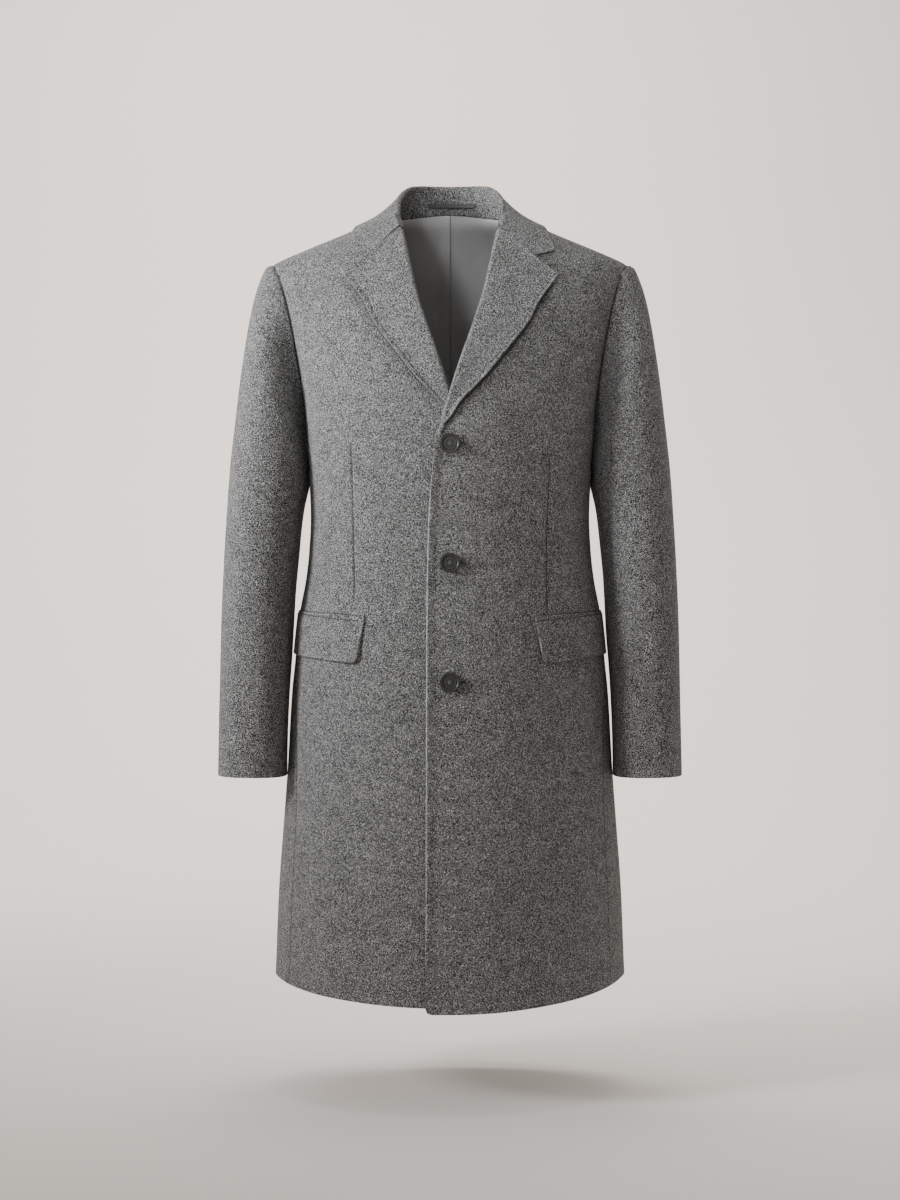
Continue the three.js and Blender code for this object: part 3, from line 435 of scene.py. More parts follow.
def noise(tree, source, scale, detail=2.0, rough=0.5, stretch=(1, 1, 1)):
    mapping = tree.nodes.new("ShaderNodeMapping")
    mapping.inputs["Scale"].default_value = stretch
    tree.links.new(source, mapping.inputs["Vector"])
    made = tree.nodes.new("ShaderNodeTexNoise")
    made.inputs["Scale"].default_value = scale
    made.inputs["Detail"].default_value = detail
    made.inputs["Roughness"].default_value = rough
    tree.links.new(mapping.outputs["Vector"], made.inputs["Vector"])
    return made.outputs["Fac"]


def math(tree, operation, a, b):
    made = tree.nodes.new("ShaderNodeMath")
    made.operation = operation
    for socket, value in zip(made.inputs, (a, b)):
        if isinstance(value, (int, float)):
            socket.default_value = value
        else:
            tree.links.new(value, socket)
    return made.outputs[0]


def ramp(tree, factor, stops):
    made = tree.nodes.new("ShaderNodeValToRGB")
    elements = made.color_ramp.elements
    while len(elements) < len(stops):
        elements.new(0.5)
    for element, (place, colour) in zip(elements, stops):
        element.position = place
        element.color = (*colour, 1)
    tree.links.new(factor, made.inputs["Fac"])
    return made.outputs["Color"]


def raise_bump(tree, shader, height, strength, distance):
    made = tree.nodes.new("ShaderNodeBump")
    made.inputs["Strength"].default_value = strength
    made.inputs["Distance"].default_value = distance
    tree.links.new(height, made.inputs["Height"])
    tree.links.new(made.outputs["Normal"], shader.inputs["Normal"])


# %% Wool
# place along the noise, and the shade of grey there
WOOL_SHADES = [
    (0.38, 0.002), (0.44, 0.008), (0.50, 0.046), (0.545, 0.132), (0.595, 0.33), (0.65, 0.70),
]


def wool_material(name, shades):
    """Fibres of three sizes of noise, run through a ramp from near black to pale grey."""
    material, tree, shader = nodes_of(name)
    place = tree.nodes.new("ShaderNodeTexCoord").outputs["Object"]
    speck = noise(tree, place, 1350, 1.0, 0.6, (1, 1, 0.9))
    fine = noise(tree, place, 2600, 0.0, 0.5)
    cloud = noise(tree, place, 60, 3.0, 0.6)
    both = math(tree, "ADD", math(tree, "MULTIPLY", speck, 0.72), math(tree, "MULTIPLY", fine, 0.28))
    drift = math(tree, "MULTIPLY", math(tree, "SUBTRACT", cloud, 0.5), 0.05)
    mixed = math(tree, "ADD", both, drift)
    stops = [(place_, (s, s, s * 0.985)) for place_, s in shades]
    tree.links.new(ramp(tree, mixed, stops), shader.inputs["Base Color"])
    shader.inputs["Roughness"].default_value = 0.95
    shader.inputs["Specular IOR Level"].default_value = 0.12
    shader.inputs["Sheen Weight"].default_value = 0.05
    shader.inputs["Sheen Roughness"].default_value = 0.5
    raise_bump(tree, shader, mixed, 0.45, 0.0012)
    return material


def paler(factor, more):
    """The wool's shades without the palest, each times a factor and a little more: paler shades for painted
    highlight on the folded edges.
    """
    return [(place_, factor * s + more) for place_, s in WOOL_SHADES[:5]]


wool = wool_material("wool", WOOL_SHADES)
# Paler copies of the wool: painted highlight along the folded edges that catch the light.
painted_highlight_wool = wool_material("painted_highlight_wool", paler(1.5, 0.02))
painted_highlight_edge = wool_material("painted_highlight_edge", paler(1.9, 0.06))
print("wool shades", len(WOOL_SHADES))

# %% [markdown]
# The satin's weave is drawn out along the cloth. Horn has dark and paler streaks and a
# low polish, and thread is matt, with its ply as fine noise.


# %% Satin, horn and thread
def satin_material(name, low, high):
    """A fine weave drawn out along the cloth, with slow changes of tone."""
    material, tree, shader = nodes_of(name)
    place = tree.nodes.new("ShaderNodeTexCoord").outputs["Object"]
    weave = noise(tree, place, 900, 2.0, 0.5, (1, 1, 0.25))
    slow = noise(tree, place, 22, 2.0, 0.5, (1, 1, 0.3))
    tone = math(tree, "ADD", math(tree, "MULTIPLY", weave, 0.35), math(tree, "MULTIPLY", slow, 0.65))
    tree.links.new(ramp(tree, tone, [(0.3, low), (0.7, high)]), shader.inputs["Base Color"])
    shader.inputs["Roughness"].default_value = 0.42
    shader.inputs["Anisotropic"].default_value = 0.4
    shader.inputs["Specular IOR Level"].default_value = 0.35
    raise_bump(tree, shader, weave, 0.1, 0.0004)
    return material


def horn_material():
    material, tree, shader = nodes_of("horn")
    place = tree.nodes.new("ShaderNodeTexCoord").outputs["Object"]
    streak = noise(tree, place, 120, 4.0, 0.6, (1, 1, 3))
    colour = ramp(tree, streak, [
        (0.35, (0.013, 0.013, 0.012)), (0.55, (0.026, 0.026, 0.023)), (0.72, (0.05, 0.047, 0.04)),
    ])
    tree.links.new(colour, shader.inputs["Base Color"])
    shader.inputs["Roughness"].default_value = 0.34
    raise_bump(tree, shader, streak, 0.06, 0.0003)
    return material


def thread_material(name, dark, pale):
    material, tree, shader = nodes_of(name)
    place = tree.nodes.new("ShaderNodeTexCoord").outputs["Object"]
    ply = noise(tree, place, 2600, 2.0, 0.5)
    tree.links.new(ramp(tree, ply, [(0.35, dark), (0.65, pale)]), shader.inputs["Base Color"])
    shader.inputs["Roughness"].default_value = 0.7
    return material


satin = satin_material("satin", (0.27, 0.267, 0.264), (0.36, 0.355, 0.352))
dark_satin = satin_material("loop_satin", (0.02, 0.019, 0.019), (0.04, 0.038, 0.038))
horn = horn_material()
# Near-black seam thread: real stitching, and also painted shade in the grooves of seams, darts and welts
# and under the lapels' edges.
seam_thread_and_shade = thread_material("seam_thread_and_shade", (0.012, 0.012, 0.012), (0.03, 0.03, 0.03))
thread = thread_material("thread", (0.03, 0.03, 0.03), (0.10, 0.10, 0.10))
print("materials", len(bpy.data.materials))

# %% [markdown]
# ## Fronts and backs
# A front runs from its folded edge, or its roll line above the break, to the side seam,
# the armhole and the shoulder seam. The wearer's left front lies on top. Both are cut by
# the hem, which drops towards the front edge, where the upper front ends in a round corner.

# %% Fronts
PANEL_INSET = 4
HEM_CORNER = 7


def panel_rows():
    """Heights of a panel's rows: close at the hem, the underarm and the shoulder tip."""
    hem = HEM_Z + np.array([0, 0.5, 1.2, 2, 3, 4.2, 5.6, 7.2, 9])
    skirt = np.linspace(HEM_Z + 12, UNDERARM_Z - 3, 170)
    turn = np.linspace(0, np.pi, 74)
    middle, reach = (SHOULDER_TIP_Z + UNDERARM_Z) / 2, (SHOULDER_TIP_Z - UNDERARM_Z) / 2
    hole = middle - reach * np.cos(turn)
    shoulder = np.linspace(SHOULDER_TIP_Z, NECK_POINT_Z, 34)[1:]
    return np.concatenate([hem, skirt, [UNDERARM_Z - 1], hole, shoulder])


def edge_steps(count, ease=1.6):
    """Column places from 0 to 1, closer together near both ends."""
    u = np.linspace(-1, 1, count)
    return (np.sign(u) * (1 - (1 - np.abs(u)) ** ease) + 1) / 2


SEAM_DITCH, SEAM_DITCH_WIDE = 1.4, 4.0
LAPEL_DITCH = 2.4
EDGE_ROLL, EDGE_ROLL_WIDE = 2.4, 13
UNDER_LAPEL_WIDTH = 0.95


def armhole_ditch(x, z):
    """Depth of the soft ditch beside the armhole seam: a half bell over the distance x."""
    along = smooth(UNDERARM_Z - 2, UNDERARM_Z + 12, z) * (1 - smooth(SHOULDER_TIP_Z - 3, SHOULDER_TIP_Z, z))
    return SEAM_DITCH * along * np.exp(-((x / SEAM_DITCH_WIDE) ** 2))


def front_mid(drop, upper, count=92):
    """Middle of a front's cloth: the panel's angles from its free edge to the side seam at
    each height, moved out by the overlap and in by its dart, ditches and rolled edge."""
    z = panel_rows()[:, None]
    inset = PANEL_INSET * smooth(BREAK_Z - 8, BREAK_Z - 2, z) * (1 - smooth(-20, NECK_POINT_Z, z))
    rise = np.clip(HEM_Z + HEM_CORNER - z, 0, HEM_CORNER)
    corner = HEM_CORNER - np.sqrt(HEM_CORNER**2 - rise**2)
    first = angle_at_x(at(FRONT_LINE, "x", z) + inset + corner, z)
    seam = outer_angle(z, False)
    size = np.linalg.norm(body_point(seam, z), axis=-1)
    last = seam - SEAM_GAP / 2 / size
    dart_at = at(DART_UPPER if upper else DART_UNDER, "x", z)
    dart_u = (angle_at_x(dart_at, z) - first) / (last - first)
    close_by = np.concatenate([np.linspace(-4, 4, 21), [-7, 7]]) / 220
    u = np.sort(np.concatenate([np.tile(edge_steps(count), (len(z), 1)), dart_u + close_by], 1), 1)
    angle = mix(first, last, np.clip(u, 0, 1))
    height = z + hem_shift(angle, z, drop)
    x = body_point(angle, height)[..., 0]
    lift = top_lift(x, height) if upper else np.zeros_like(x)
    from_edge = x - at(FRONT_LINE, "x", height)
    free = 1 - smooth(BREAK_Z - 12, BREAK_Z + 6, height)
    rolled = (EDGE_ROLL if upper else 0.3) * (1 - smooth(1, EDGE_ROLL_WIDE, from_edge)) * free
    ditch = armhole_ditch(body_point(seam, z)[..., 0] - x, z)
    low_end, width = (BREAK_Z, 1) if upper else (-250, UNDER_LAPEL_WIDTH)
    lapel_x = mix(at(FRONT_LINE, "x", height), at(LAPEL_EDGE, "x", height), width)
    beside = smooth(low_end, low_end + 20, height) * (1 - smooth(-86, -70, height))
    ditch = ditch + LAPEL_DITCH * beside * bump(x - lapel_x, 2, 6)
    dip = dart(x, height, *((DART_UPPER, -512, -287) if upper else (DART_UNDER, -490, -286)))
    return body_offset(angle, height, lift - WOOL / 2 + rolled - ditch + dip)


SEAM_ROUND = 0.85
front_rims = (1.2, SEAM_ROUND, 1.2, SEAM_ROUND)
fronts = {"left": front_mid(UPPER_DROP, True), "right": front_mid(UNDER_DROP, False)}
front_left, front_right = [
    cloth(f"wool_front_{word}", mid, WOOL, front_rims, wool, f"front_{word}", word == "right")
    for word, mid in fronts.items()
]


# %% Backs
def back_mid(drop, mirrored, count=72):
    """Middle of a back's cloth, from the side seam to the centre seam at each height."""
    z = panel_rows()[:, None]
    seam = outer_angle(z, True)
    size = np.linalg.norm(body_point(seam, z), axis=-1)
    middle = np.linalg.norm(body_point(np.array(np.pi), z), axis=-1)
    first = seam + SEAM_GAP / 2 / size
    last = np.pi - SEAM_GAP / 2 / middle
    angle = mix(first, last, edge_steps(count)[None, :])
    if mirrored:
        angle = -angle
    height = z + nape_shift(angle, z) + hem_shift(angle, z, drop)
    ditch = armhole_ditch(np.abs(body_point(seam, z)[..., 0]) - np.abs(body_point(angle, z)[..., 0]), z)
    return body_offset(angle, height, -WOOL / 2 - ditch)


back_rims = (SEAM_ROUND, SEAM_ROUND, 1.2, SEAM_ROUND)
backs = {"left": back_mid(UPPER_DROP, False), "right": back_mid(UNDER_DROP, True)[:, ::-1]}
back_left, back_right = [
    cloth(f"wool_back_{word}", mid, WOOL, back_rims, wool, f"back_{word}")
    for word, mid in backs.items()
]

# %% [markdown]
# ## Sleeves
# The two-piece sleeve hangs from the armhole, a little forward, and is bent slightly at
# the elbow. Its rings turn from the slant of the armhole to level at the cuff. They are
# squarer than in the solids, so that the sleeve's front catches the light as in the photo.
# Shallow dents lie on the inside of the elbow and above the cuff, unlike on the two sides.

# %% Sleeves
SLEEVE_POWER = 2.4
SEAM_FRONT, SEAM_BACK = 150, 285
SLEEVE_HEAD = 1.1
# turn round the ring, place down the sleeve (0 to 14), width, length, how far it stands out
SLEEVE_CREASES = {
    1: [(150, 9.2, 26, 0.8, -1.3), (175, 10.2, 30, 0.7, 0.8), (60, 12.4, 40, 0.8, -0.8),
        (120, 12.9, 30, 0.6, 0.6), (200, 8.2, 34, 0.8, -1.2), (90, 5.5, 26, 2.2, -0.7)],
    -1: [(140, 9.6, 28, 0.9, -1.2), (165, 10.9, 28, 0.7, 0.9), (70, 12.2, 36, 0.7, -0.9),
         (40, 13.0, 30, 0.7, 0.5), (205, 8.6, 30, 0.9, -1.1), (95, 6.0, 28, 2.4, -0.7)],
}


def armhole_loop(turn):
    """The armhole's points on the wearer's left, for turns from the shoulder tip (0)
    over the front (90) to the underarm (180)."""
    middle, reach = (SHOULDER_TIP_Z + UNDERARM_Z) / 2, (SHOULDER_TIP_Z - UNDERARM_Z) / 2
    z = middle + reach * np.cos(turn)
    z_in = np.clip(z, UNDERARM_Z + 0.001, SHOULDER_TIP_Z - 0.001)
    angle = np.where(turn > np.pi, outer_angle(z_in, True), outer_angle(z_in, False))
    ends = np.abs(np.sin(turn)) < 1e-6
    angle = np.where(ends, 90 * DEGREE, angle)
    return body_point(angle, z)


def sleeve_ring(t, turn, inset):
    """Squared ellipse round the sleeve: reach along the line from inner to outer edge, and
    depth forward and back, each less the inset."""
    out = np.stack([at(SLEEVE, "outX", t), at(SLEEVE, "mid", t), at(SLEEVE, "outZ", t)], -1)
    inn = np.stack([at(SLEEVE, "inX", t), at(SLEEVE, "mid", t), at(SLEEVE, "inZ", t)], -1)
    centre = (out + inn) / 2
    reach = out - centre
    long = np.linalg.norm(reach, axis=-1) - inset
    way = unit(reach)
    deep = at(SLEEVE, "deep", t) - inset
    along, forward = np.cos(turn), np.sin(turn)
    radius = (np.abs(along) ** SLEEVE_POWER + np.abs(forward) ** SLEEVE_POWER) ** (-1 / SLEEVE_POWER)
    point = centre + way * (long * along * radius)[..., None]
    point[..., 1] -= deep * forward * radius
    return point


def sleeve_mid(from_turn, to_turn, side, count):
    """Middle of the sleeve's cloth between two seams, with its creases."""
    ends = [np.linspace(0, 1, 18)[:-1], np.linspace(1, 13.9, 118), [13.93, 13.96, 13.98, 14]]
    t = np.concatenate(ends)[:, None]
    gap = SEAM_GAP / 2 / 64 / DEGREE
    spread = mix(from_turn + gap, to_turn - gap, edge_steps(count, 1.4))
    turn = (spread * DEGREE)[None, :] % (2 * np.pi)
    t, turn = np.broadcast_arrays(t, turn)
    blend = smooth(0, 4, t)[..., None]
    shift = armhole_loop(turn) - sleeve_ring(np.zeros_like(t), turn, 0)
    inset = SLEEVE_WOOL / 2 * smooth(0, 1, t)
    point = sleeve_ring(t, turn, inset) + shift * (1 - blend)
    normal = grid_normal(point)
    outward = point - sleeve_ring(t, turn, 20)
    normal = normal * np.sign((normal * outward).sum(-1, keepdims=True))
    lift = -0.25 * bump(t, 13.55, 0.03)
    degrees = np.degrees(turn)
    for ring, place, wide, tall, high in SLEEVE_CREASES[side]:
        away = (degrees - ring + 180) % 360 - 180
        lift += high * bump(away, 0, wide) * bump(t, place, tall)
    over_top = 0.35 + 0.65 * np.abs(np.cos(turn / 2)) ** 1.5
    lift += SLEEVE_HEAD * over_top * bump(t, 0.75, 0.55) * smooth(0, 0.4, t)
    lift -= SEAM_DITCH * np.abs(np.sin(turn)) ** 0.5 * bump(t, 0, 0.22)
    return point + normal * lift[..., None]


for side, word in ((1, "left"), (-1, "right")):
    for part, start, stop, count in (
        ("top", SEAM_BACK - 360, SEAM_FRONT, 90), ("under", SEAM_FRONT, SEAM_BACK, 54),
    ):
        mid = sleeve_mid(start, stop, side, count)
        rims = (0.55, 0.55, SEAM_ROUND, 1.05)
        node = f"{part}_sleeve_{word}"
        cloth("wool_" + node, mid, SLEEVE_WOOL, rims, wool, node, side < 0)

# %% [markdown]
# ## Lapels
# A lapel is the front's own cloth with its facing, rolled back along a soft line. Its
# section runs from the strip of facing inside, round the roll, and out over the chest to
# the edge, which stands a little off the front. The roll is soft, so it stands a little
# prouder than in the solids. The lower end melts into the front edge.

# %% Lapels
LAPEL_TAIL, LAPEL_SPRING, UNDER_LAPEL_SPRING, ROLL_RISE = 20, 4.6, 1.6, 3.2
ROLL_RADIUS = WOOL / 2 + LAY_GAP + LAPEL_WOOL


def lapel_edge_x(z):
    """Place of the lapel's outer edge: up to the tip, in to the notch, along the gorge."""
    below = at(LAPEL_EDGE, "x", z)
    tip = mix(LAPEL_TIP[0], NOTCH[0], (z - LAPEL_TIP[1]) / (NOTCH[1] - LAPEL_TIP[1]))
    gorge = mix(NOTCH[0], GORGE_TOP[0], (z - NOTCH[1]) / (GORGE_TOP[1] - NOTCH[1]))
    return np.where(z <= LAPEL_TIP[1], below, np.where(z <= NOTCH[1], tip, gorge))


def lapel_mid(upper, width, spring, low):
    """Middle of a lapel's cloth. Across, its section is a flat strip, a half round and a
    face whose height grows with the cube of the share of its width, plus the soft roll."""
    to_tip = np.linspace(low, LAPEL_TIP[1] - 1, 104)
    to_notch = np.linspace(LAPEL_TIP[1], NOTCH[1], 22)
    to_gorge = np.linspace(NOTCH[1] + 0.5, -10.8, 30)
    z = np.concatenate([to_tip, to_notch, to_gorge])[:, None]
    roll = at(FRONT_LINE, "x", z)
    middle = roll + ROLL_RADIUS
    gorge = np.where(z > NOTCH[1] - 1, SEAM_GAP, 0)
    trim = mix(width, 1, smooth(LAPEL_TIP[1], NOTCH[1], z))
    wide = np.maximum((lapel_edge_x(z) - roll) * trim, ROLL_RADIUS + 2)
    edge = np.maximum(roll + wide - gorge, middle + 1.5)
    tail = LAPEL_TAIL * smooth(-235, -170, z) * (1 - smooth(-45, -19, z)) + 1.5
    lift_at = top_lift if upper else (lambda x, z: np.zeros(np.broadcast(x, z).shape))
    base = lift_at(middle, z)
    k = np.linspace(1, 0.1, 8)[None, :]
    tail_x = middle + tail * k
    tail_lift = np.broadcast_to(base - WOOL - LAY_GAP - LAPEL_WOOL / 2, tail_x.shape)
    turn = np.linspace(-0.5, 0.5, 13)[None, :] * np.pi
    radius = ROLL_RADIUS - LAPEL_WOOL / 2
    roll_x = middle - radius * np.cos(turn)
    rise = ROLL_RISE * smooth(BREAK_Z + 20, -215, z) * (1 - smooth(-45, -12, z))
    roll_lift = base - WOOL / 2 + (radius + rise * (turn > 0)) * np.sin(turn)
    u = np.concatenate([np.linspace(0, 0.86, 34)[1:], np.linspace(0.87, 1, 12)])[None, :]
    face_x = mix(middle, edge, u)
    free = smooth(BREAK_Z, -235, z) * (1 - smooth(-60, -10, z))
    pressed = 2 * bump(edge - face_x, 6, 1.8) * smooth(BREAK_Z + 20, BREAK_Z + 50, z)
    face_lift = lift_at(face_x, z) + LAY_GAP + spring * u**3 * free + LAPEL_WOOL / 2 - 0.3 * pressed
    face_lift = face_lift + rise * (1 - smooth(0, 0.85, u))
    x = np.concatenate([tail_x, roll_x, face_x], 1)
    lift = np.concatenate([tail_lift, roll_lift, face_lift], 1)
    return body_offset(angle_at_x(x, z), np.broadcast_to(z, x.shape), lift)


lapel_rims = (0.55, 1.05, 0.8, 0.55)
lapels = {
    "left": lapel_mid(True, 1, LAPEL_SPRING, BREAK_Z),
    "right": lapel_mid(False, UNDER_LAPEL_WIDTH, UNDER_LAPEL_SPRING, -253),
}
lapel_left, lapel_right = [
    cloth(f"wool_lapel_{word}", mid, LAPEL_WOOL, lapel_rims, wool, f"lapel_{word}", word == "right")
    for word, mid in lapels.items()
]

# %% [markdown]
# ## Collar
# The collar stands up from the neck seam, folds over with a soft round top, and falls
# outside onto the shoulders. In front its fold runs on into the roll of the lapels, and
# its end makes the upper side of the notch.

# %% Collar
COLLAR_WOOL, COLLAR_CLEARANCE, COLLAR_ROLL, COLLAR_CORNER = 2.4, 1.3, 2.6, 0.6


def stand_off(point):
    """Distance of points out from the body surface, and the way there."""
    def measure(p):
        side, power = at(BODY, "side", p[..., 2]), at(BODY, "power", p[..., 2])
        front, back = at(BODY, "front", p[..., 2]) + side, at(BODY, "back", p[..., 2]) - side
        depth = np.where(p[..., 1] < side, front, back)
        across = np.abs(p[..., 0]) / at(BODY, "half", p[..., 2])
        ahead = np.abs(p[..., 1] - side) / depth
        return (across**power + ahead**power) ** (1 / power) - 1

    here = measure(point)
    step = np.eye(3) * 0.5
    way = np.stack([measure(point + s) - measure(point - s) for s in step], -1)
    size = np.linalg.norm(way, axis=-1, keepdims=True)
    return here / size[..., 0], way / size


def keep_clear(point, clearance):
    """Moves points out until they are at least the clearance off the body surface."""
    for _ in range(4):
        distance, way = stand_off(point)
        point = point + way * np.maximum(clearance - distance, 0)[..., None]
    return point


def collar_half(t, falls=40):
    """One half of the collar's middle surface, from the middle of the back (t = 0)."""
    fold = np.stack([at(COLLAR_FOLD, k, t) for k in "xyz"], -1)
    outwards = unit(np.stack([fold[:, 0], fold[:, 1] - 15, 0 * t], -1))
    edge_angle, edge_z = at(COLLAR_EDGE, "angle", t) * DEGREE, at(COLLAR_EDGE, "z", t)
    edge = body_offset(edge_angle, edge_z, COLLAR_CLEARANCE + COLLAR_WOOL / 2 + 0.3)
    neck_angle = mix(np.pi, 90 * DEGREE, np.minimum(t / 0.68, 1))
    neck_z = NECK_POINT_Z + nape_shift(neck_angle, NECK_POINT_Z)
    seat = body_offset(neck_angle, neck_z, -COLLAR_WOOL / 2) + [0, 0, SEAM_GAP + COLLAR_WOOL / 4]
    roll = fold - outwards * 2 + [0, 0, -9]
    taper = smooth(0.6, 0.86, t)[:, None]
    foot = mix(seat, roll, taper)
    below = fold + [0, 0, -COLLAR_ROLL]
    inside, outside = below - outwards * COLLAR_ROLL, below + outwards * COLLAR_ROLL
    rows = []
    for u in np.linspace(0, 1, 28):
        groove = 0.8 * bump(u, 0.8, 0.022) * (1 - smooth(0.3, 0.5, t))
        rows.append(mix(foot, inside, u) + outwards * groove[:, None])
    for a in np.linspace(0, np.pi, 11)[1:-1]:
        rise = np.array([0, 0, np.sin(a) * COLLAR_ROLL])
        rows.append(below - outwards * (np.cos(a) * COLLAR_ROLL) + rise)
    notch = body_offset(angle_at_x(NOTCH[0], NOTCH[1]), NOTCH[1], COLLAR_CLEARANCE + COLLAR_WOOL / 2 + 0.3)
    bend = (notch - mix(outside, edge, COLLAR_CORNER)) * (smooth(0.72, 1, t) ** 2)[:, None]
    for u in np.concatenate([np.linspace(0, 0.9, falls), np.linspace(0.92, 1, 6)]):
        share = u / COLLAR_CORNER if u < COLLAR_CORNER else (1 - u) / (1 - COLLAR_CORNER)
        point = mix(outside, edge, u) + bend * share
        clear = keep_clear(point, COLLAR_CLEARANCE + COLLAR_WOOL / 2)
        rows.append(np.where(point[:, 2:3] < NECK_POINT_Z, clear, point))
    return np.stack(rows, 1)


ts = np.concatenate([np.linspace(0, 0.97, 96), np.linspace(0.975, 1, 8)])
half = collar_half(ts)
collar_mid = np.concatenate([(half * [-1, 1, 1])[:0:-1], half])
collar = cloth("wool_collar", collar_mid, COLLAR_WOOL, (0.55, 1.1, 1.0, 1.0), wool, "collar")

# %% [markdown]
# ## Pockets
# Each slanting pocket has a flap, hung from a narrow welt. The flap's front lower corner
# is round and its lower edge stands off the skirt, which throws a soft shadow there.

# %% Pockets
FLAP_CORNER, FLAP_STAND_OFF, FLAP_BACK_CLOSE = 9, 3.2, 0.8
FLAP_FRONT, FLAP_FRONT_LOW, FLAP_BACK = 105, 113, 83.5 * DEGREE
FLAP_TOP_FRONT, FLAP_TOP_BACK, FLAP_DROP, FLAP_LONG = -509, -498, 52, 150


def flap_mid():
    """Middle of a flap's cloth: u along the pocket, v down, standing off as v to the 1.5."""
    close = np.linspace(0, 0.08, 14)[:-1]
    u = np.concatenate([close, np.linspace(0.08, 0.985, 64), [0.99, 0.995, 1]])[None, :]
    v = np.concatenate([np.linspace(0, 0.9, 26), np.linspace(0.92, 1, 8)])[:, None]
    top = mix(FLAP_TOP_FRONT, FLAP_TOP_BACK, u)
    inside = np.maximum(FLAP_CORNER - u * FLAP_LONG, 0)
    round_ = FLAP_CORNER - np.sqrt(FLAP_CORNER**2 - inside**2)
    z = top - v * (FLAP_DROP - round_)
    first = angle_at_x(mix(FLAP_FRONT, FLAP_FRONT_LOW, v), z)
    angle = mix(first, FLAP_BACK, u)
    lift = LAY_GAP + FLAP_STAND_OFF * v**1.5 * (1 - FLAP_BACK_CLOSE * u) + FLAP_WOOL / 2
    pressed = bump((1 - v) * FLAP_DROP, 5.5, 1.2) + bump(u * FLAP_LONG, 5.5, 1.2) * (v < 0.9)
    return body_offset(angle, z, lift - 0.25 * pressed)


def welt_mid():
    """Middle of the narrow band above the flap, 7 mm wide in front and 3 mm at the back."""
    v = np.linspace(0, 1, 8)[:, None]
    u = np.linspace(0, 1, 70)[None, :]
    z = mix(FLAP_TOP_FRONT, FLAP_TOP_BACK, u) + SEAM_GAP + v * mix(7, 3, u)
    angle = mix(angle_at_x(FLAP_FRONT, z), FLAP_BACK, u)
    return body_offset(angle, z, LAY_GAP + 0.6)


flaps, welts = [], []
for word, mirror in SIDES:
    for made, part, mid, thick, rims in (
        (flaps, "pocket_flap", flap_mid(), FLAP_WOOL, (1.05, 0.6, 0.6, 1.05)),
        (welts, "pocket_welt", welt_mid(), 1.2, (0.5, 0.5, 0.3, 0.5)),
    ):
        node = f"{part}_{word}"
        made.append(cloth("wool_" + node, mid, thick, rims, wool, node, mirror))

# %% [markdown]
# ## Lining and loop
# The back is lined in a grey satin, with a pleat down the middle that gives ease.
# It shows in the open neck. The hanger loop is a flat strip of the same satin, sewn at
# its ends to the inside of the collar.

# %% Lining
LINING_CLEAR, LINING_HEM_UP, PLEAT_DEPTH = 2, 24, 3


def lining_mid():
    """Middle of the lining: the back's own surface moved in, with one side of the pleat
    lying deeper, a fold at its edge and two soft ridges of drape."""
    low = np.linspace(HEM_Z + LINING_HEM_UP, SHOULDER_TIP_Z, 110)
    z = np.concatenate([low, np.linspace(SHOULDER_TIP_Z, NECK_POINT_Z, 22)[1:]])[:, None]
    seam = outer_angle(z, True) / DEGREE + 2.5
    share = np.concatenate([np.linspace(0, 0.94, 40), [0.97]])[None, :]
    left = mix(seam, 178.4, share)
    right = mix(180.9, 360 - seam, 1 - share[:, ::-1])
    pleat = np.concatenate([[178.4, 178.9], np.linspace(179.3, 180.9, 14)])
    degrees = np.concatenate([left, np.broadcast_to(pleat, (len(z), 16)), right], 1)
    angle = degrees * DEGREE
    past = smooth(179.4, 180.3, degrees) * (1 - smooth(180.8, 192, degrees))
    height = z + nape_shift(angle, z)
    fold = 2.2 * bump(degrees, 180.0, 0.3)
    drape = 2.0 * bump(degrees, 202, 9) + 1.4 * bump(degrees, 163, 7) - 1.2 * bump(degrees, 186, 5)
    away = smooth(NECK_POINT_Z + 2, NECK_POINT_Z - 80, z)
    lift = -WOOL - LINING_CLEAR - PLEAT_DEPTH * past - SATIN / 2 - (fold + drape + 2) * away
    return body_offset(angle, height, lift)


thin = (0.45, 0.45, 0.45, 0.45)
lining = cloth("satin_back_lining", lining_mid(), SATIN, thin, satin, "back_lining")

LOOP_HALF, LOOP_MIDDLE, LOOP_HEIGHT, LOOP_Z, LOOP_THICK = 31.5, 1.8, 6, 39, 1.2


def stand_y(x, z):
    """Depth of the collar stand's middle behind the point (x, z)."""
    fine = collar_half(np.linspace(0, 0.4, 200))[:, :28]
    best = np.argmin(np.abs(fine[..., 0] - np.abs(x)) + np.abs(fine[..., 2] - z))
    return fine.reshape(-1, 3)[best, 1]


xs = np.linspace(-LOOP_HALF, LOOP_HALF, 50)
depth = np.array([stand_y(x + LOOP_MIDDLE, LOOP_Z) for x in xs])
slack = 0.8 + 2 * (1 - (xs / LOOP_HALF) ** 2)
even = np.convolve(np.pad(depth, 4, "edge"), np.ones(9) / 9, "valid")
line_y = even - COLLAR_WOOL / 2 - slack - LOOP_THICK / 2
heights = LOOP_Z + np.linspace(-0.5, 0.5, 9)[:, None] * LOOP_HEIGHT
loop_mid = np.stack(np.broadcast_arrays(xs + LOOP_MIDDLE, line_y, heights), -1)
rims = (0.3, 0.3, 0.5, 0.5)
loop = cloth("satin_hanger_loop", loop_mid, LOOP_THICK, rims, dark_satin, "hanger_loop")
